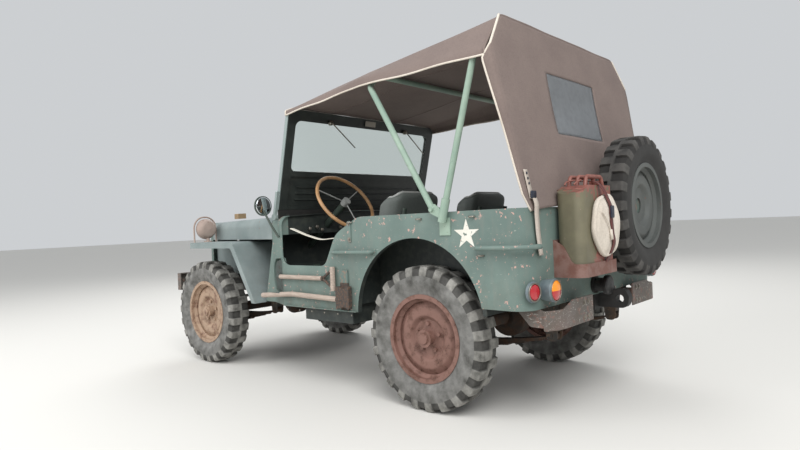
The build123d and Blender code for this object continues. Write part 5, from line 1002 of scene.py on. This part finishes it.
def can_details():
    """Lever loop on top of the fuel can, and the two seams round its outer side."""
    mid = (CAN_LOW.y + CAN_HIGH.y) / 2
    top = CAN_HIGH.z - 0.052
    lever = curve([(CAN_HIGH.x - 0.022, mid - 0.022, top + 0.004), (CAN_HIGH.x - 0.05, mid - 0.026, top + 0.018),
                   (CAN_HIGH.x - 0.10, mid - 0.02, top + 0.026), (CAN_HIGH.x - 0.112, mid, top + 0.026),
                   (CAN_HIGH.x - 0.10, mid + 0.02, top + 0.026), (CAN_HIGH.x - 0.05, mid + 0.026, top + 0.018),
                   (CAN_HIGH.x - 0.022, mid + 0.022, top + 0.004)])
    piece("can_lever", [rod(lever, 0.004, 8)], CAN_PAINT)
    seam_z = (CAN_LOW.z + 0.012, top - 0.016)
    parts = []
    for z in seam_z:
        flat = (CAN_HIGH.y - CAN_LOW.y) / 2 - 0.040
        path = [(CAN_HIGH.x - 0.040 + 0.0403 * math.cos(a), mid + math.copysign(flat, a) + 0.0403 * math.sin(a), z)
                for a in np.linspace(-math.pi / 2, math.pi / 2, 24)]
        parts.append(rod(path, 0.0018, 6))
    piece("can_seams", parts, CAN_PAINT)


# Lamps, mirror and dials

def dome(centre, axis, radius, high, sides=36):
    """Shallow round cap, whose height falls from the middle with the square of the radius."""
    rows = [(high * (1 - (i / 7) ** 2), radius * i / 7) for i in range(8)]
    return turned(rows[::-1], centre, axis, sides)


def lamps():
    """Lenses, reflectors and rings of the tail lamps, glasses of the front lamps, and the mirror."""
    lenses, reds, rings, screws = [], [], [], []
    for side in (-1, 1):
        lamp = (side * TAIL_LAMP_X, TAIL + 0.0615, LAMP_Z)
        lenses.append(dome(lamp, (0, 1, 0), 0.044, 0.009))
        rings.append(hoop(lamp, (1, 0, 0), 0.0455, 0.002))
        tilt = math.radians(10) * side
        way = np.array([math.sin(tilt), math.cos(tilt), 0.0])
        middle = np.array([side * (BODY_SIDE - 0.046), TAIL - 0.005, LAMP_Z]) + way * 0.0172
        reds.append(dome(middle, way, 0.034, 0.004))
        rings.append(hoop(middle, (way[1], -way[0], 0.0), 0.038, 0.0035))
        screws += bolt((side * TAIL_LAMP_X, TAIL + 0.0305, LAMP_Z - 0.050), (0, 0, -1), 0.004, 0.003)
    piece("tail_lamp_lenses", lenses, TAIL_LENS)
    piece("red_reflectors", reds, RED_LENS)
    piece("lamp_rings", rings, STEEL)
    piece("lamp_screws", screws, STEEL, smooth=False)
    grille_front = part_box("grille")[0].y
    glasses = [dome((side * 0.312, grille_front + 0.008, z), (0, -1, 0), radius, 0.010 * radius / 0.079)
               for side in (-1, 1) for z, radius in ((0.850, 0.079), (0.690, 0.032))]
    driving_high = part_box("driving_lamp")[1]
    glasses.append(dome((0.552, FRONT_AXLE - 0.184 - 0.006, driving_high.z - 0.099), (0, -1, 0), 0.070, 0.008))
    piece("front_lamp_glasses", glasses, LAMP_GLASS)
    mirror = (BODY_SIDE + 0.017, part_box("mirror")[0].y + 0.0125, 1.082)
    piece("mirror_glass", [dome(mirror, (0, 1, 0), 0.056, 0.0015)], MIRROR)


def dash():
    """Dials with their rims, and knobs, on the panel below the windscreen."""
    wall = DOOR_FRONT - 0.012
    dials, rims = [], []
    for x, radius in ((0.10, 0.026), (0.035, 0.026), (-0.03, 0.038), (-0.105, 0.026), (-0.17, 0.026)):
        dials.append(dome((x, wall, 0.955), (0, 1, 0), radius, 0.002))
        rims.append(hoop((x, wall + 0.001, 0.955), (1, 0, 0), radius, 0.002, 30))
    knobs = [turned([(0, 0.004), (0.014, 0.004), (0.015, 0.011), (0.024, 0.011), (0.027, 0.007)], (x, wall, z),
                    (0, 1, 0), 14) for x, z in ((0.22, 0.94), (0.26, 0.93), (0.46, 0.94), (0.52, 0.93), (0.42, 0.92))]
    piece("dials", dials, DIAL)
    piece("dial_rims", rims, STEEL)
    piece("dash_knobs", knobs, STEEL)


# Rivets, bolts, loops and brackets, and the details of the windscreen

def loop(place, out, along, long=0.034, high=0.012):
    """Footman loop: a low strap bent up over its middle half."""
    place, out, along = (np.array(v, float) for v in (place, out, along))
    path = [place - along * long / 2, place - along * long / 4 + out * high, place + along * long / 4 + out * high,
            place + along * long / 2]
    return ribbon(curve(path, 5), np.cross(out, along), 0.008, 0.002)


def fittings():
    """Footman loops, rivets and strap brackets on both sides, and the bolts and rivets of the tail."""
    heads, loops, parts = [], [], []
    for side in (-1, 1):
        x = side * BODY_SIDE
        out = (side, 0, 0)
        for y, z in ((DOOR_FRONT + 0.60, 0.955), (REAR_AXLE + 0.05, 0.955), (REAR_AXLE + 0.36, 0.955),
                     (REAR_AXLE + 0.40, 0.78), (REAR_AXLE - 0.46, 0.60)):
            loops.append(loop((x + side * 0.0005, y, z), out, (0, 1, 0)))
        for y in (REAR_AXLE - 0.555, REAR_AXLE - 0.267):
            for dy in (-0.014, 0.014):
                heads.append(rivet((x + side * 0.004, y + dy, 0.796), out, 0.004))
        for y in np.linspace(DOOR_FRONT + 0.03, REAR_AXLE - 0.45, 6):
            heads.append(rivet((x + side * 0.0002, y, 0.455), out, 0.005))
        strap_y = FRONT_AXLE + 1.592
        parts.append(plate(round_box(0.028, 0.115, 0.008), (x + side * 0.0004, strap_y, 0.905), (0, side, 0), (0, 0, 1),
                           0.005))
        heads += bolt((x + side * 0.0054, strap_y, 0.865), out, 0.007)
        heads += bolt((x + side * 0.0054, strap_y, 0.945), out, 0.005)
    for x in (-0.62, -0.5, 0.0, 0.5, 0.62):
        heads.append(rivet((x, TAIL + 0.0005, 0.955), (0, 1, 0), 0.005))
    for side in (-1, 1):
        for x, z in ((0.30, 0.47), (0.34, 0.47), (0.30, 0.54), (0.34, 0.54)):
            heads += bolt((side * x, TAIL + 0.067, z), (0, 1, 0), 0.008)
    piece("rivets_and_bolts", heads, STEEL, smooth=False)
    piece("footman_loops", loops, STEEL)
    piece("strap_brackets", parts, BODY_PAINT, smooth=False)


def screen_details():
    """Wipers and blank plate on the raked windscreen, and the black seal at its foot."""
    rake = math.tan(math.radians(14))
    foot_y, foot_z = FRONT_AXLE + 0.906, 1.050

    def on_glass(x, z, back=0.02):
        """Place behind the windscreen's raked plane, by back."""
        return (x, foot_y + (z - foot_z) * rake + back, z)

    wipers = []
    for x in (-0.36, 0.36):
        wipers.append(rod([on_glass(x, 1.60, 0.034), on_glass(x - 0.10, 1.54, 0.034), on_glass(x - 0.23, 1.46, 0.034)],
                          0.004, 8))
        wipers.append(turned([(0, 0.016), (0.018, 0.016), (0.024, 0.011)], on_glass(x, 1.60, 0.014), (0, 1, 0), 16))
    piece("wipers", wipers, STEEL)
    tag = plate(round_box(0.10, 0.035, 0.004), on_glass(0.0, 1.625, 0.022), (-1, 0, 0), (0, rake, 1), 0.001)
    piece("blank_header_plate", [tag], STEEL, smooth=False)
    seal = tail_plate(1.38, 0.056, 0.004, (0.0, foot_y + 0.004, 1.028), 0.008)
    piece("windscreen_seal", [seal], BLACK_RUBBER, smooth=False)


seats()
curtain_strap()
bucket()
can_details()
lamps()
dash()
fittings()
screen_details()
canvas_roof()
rear_curtain()
tyres()
star(1)
star(-1)


# Floor, light and camera

def studio():
    """Flat pale floor under an even sky, with large lamps high at the left rear, left front and right front."""
    floor_material = plain("pale_studio_floor", "#d9d7d2", 0.9)
    size = 60.0
    mesh = bpy.data.meshes.new("floor")
    corners = [(-size, -size, 0), (size, -size, 0), (size, size, 0), (-size, size, 0)]
    mesh.from_pydata(corners, [], [(0, 1, 2, 3)])
    mesh.materials.append(floor_material)
    floor = added("floor", mesh)
    world = bpy.data.worlds.new("soft_studio")
    world.use_nodes = True
    world.node_tree.nodes["Background"].inputs["Color"].default_value = colour("#e8ebee")
    world.node_tree.nodes["Background"].inputs["Strength"].default_value = 0.75
    bpy.context.scene.world = world
    lights = [
        # name, place, size, watts
        ("key", (4.5, 5.5, 6.5), 5.0, 620),
        ("fill", (6.5, -3.5, 4.0), 5.0, 300),
        ("back", (-5.0, -4.0, 5.5), 5.0, 260),
    ]
    for name, place, side, watts in lights:
        data = bpy.data.lights.new(name, "AREA")
        data.size = side
        data.energy = watts
        lamp = added(name, data)
        lamp.location = place
        lamp.rotation_euler = (Vector((0, 0, 0.8)) - Vector(place)).to_track_quat("-Z", "Y").to_euler()


CAMERA_PLACE = Vector((2.950, REAR_AXLE + 1.907, 0.941))
CAMERA_AZIMUTH = 131.8
CAMERA_RISE = 0.2
CAMERA_ROLL = -2.5
CAMERA_LENS = 26.95


def camera():
    """The camera at the photograph's place, turned by azimuth and rise and then rolled about its line of sight."""
    a, e, roll = (math.radians(v) for v in (CAMERA_AZIMUTH, CAMERA_RISE, CAMERA_ROLL))
    back = Vector((math.sin(a) * math.cos(e), -math.cos(a) * math.cos(e), math.sin(e)))
    right = (-back).cross(Vector((0, 0, 1))).normalized()
    up = right.cross(-back)
    turned_right = math.cos(roll) * right + math.sin(roll) * up
    turned_up = math.cos(roll) * up - math.sin(roll) * right
    data = bpy.data.cameras.new("camera")
    data.lens = CAMERA_LENS
    data.sensor_width = 36.0
    data.clip_start = 0.05
    view = added("camera", data)
    turn = Matrix((turned_right, turned_up, back)).transposed()
    view.matrix_world = Matrix.Translation(CAMERA_PLACE) @ turn.to_4x4()
    bpy.context.scene.camera = view


studio()
camera()
bpy.context.scene.view_settings.view_transform = "Standard"
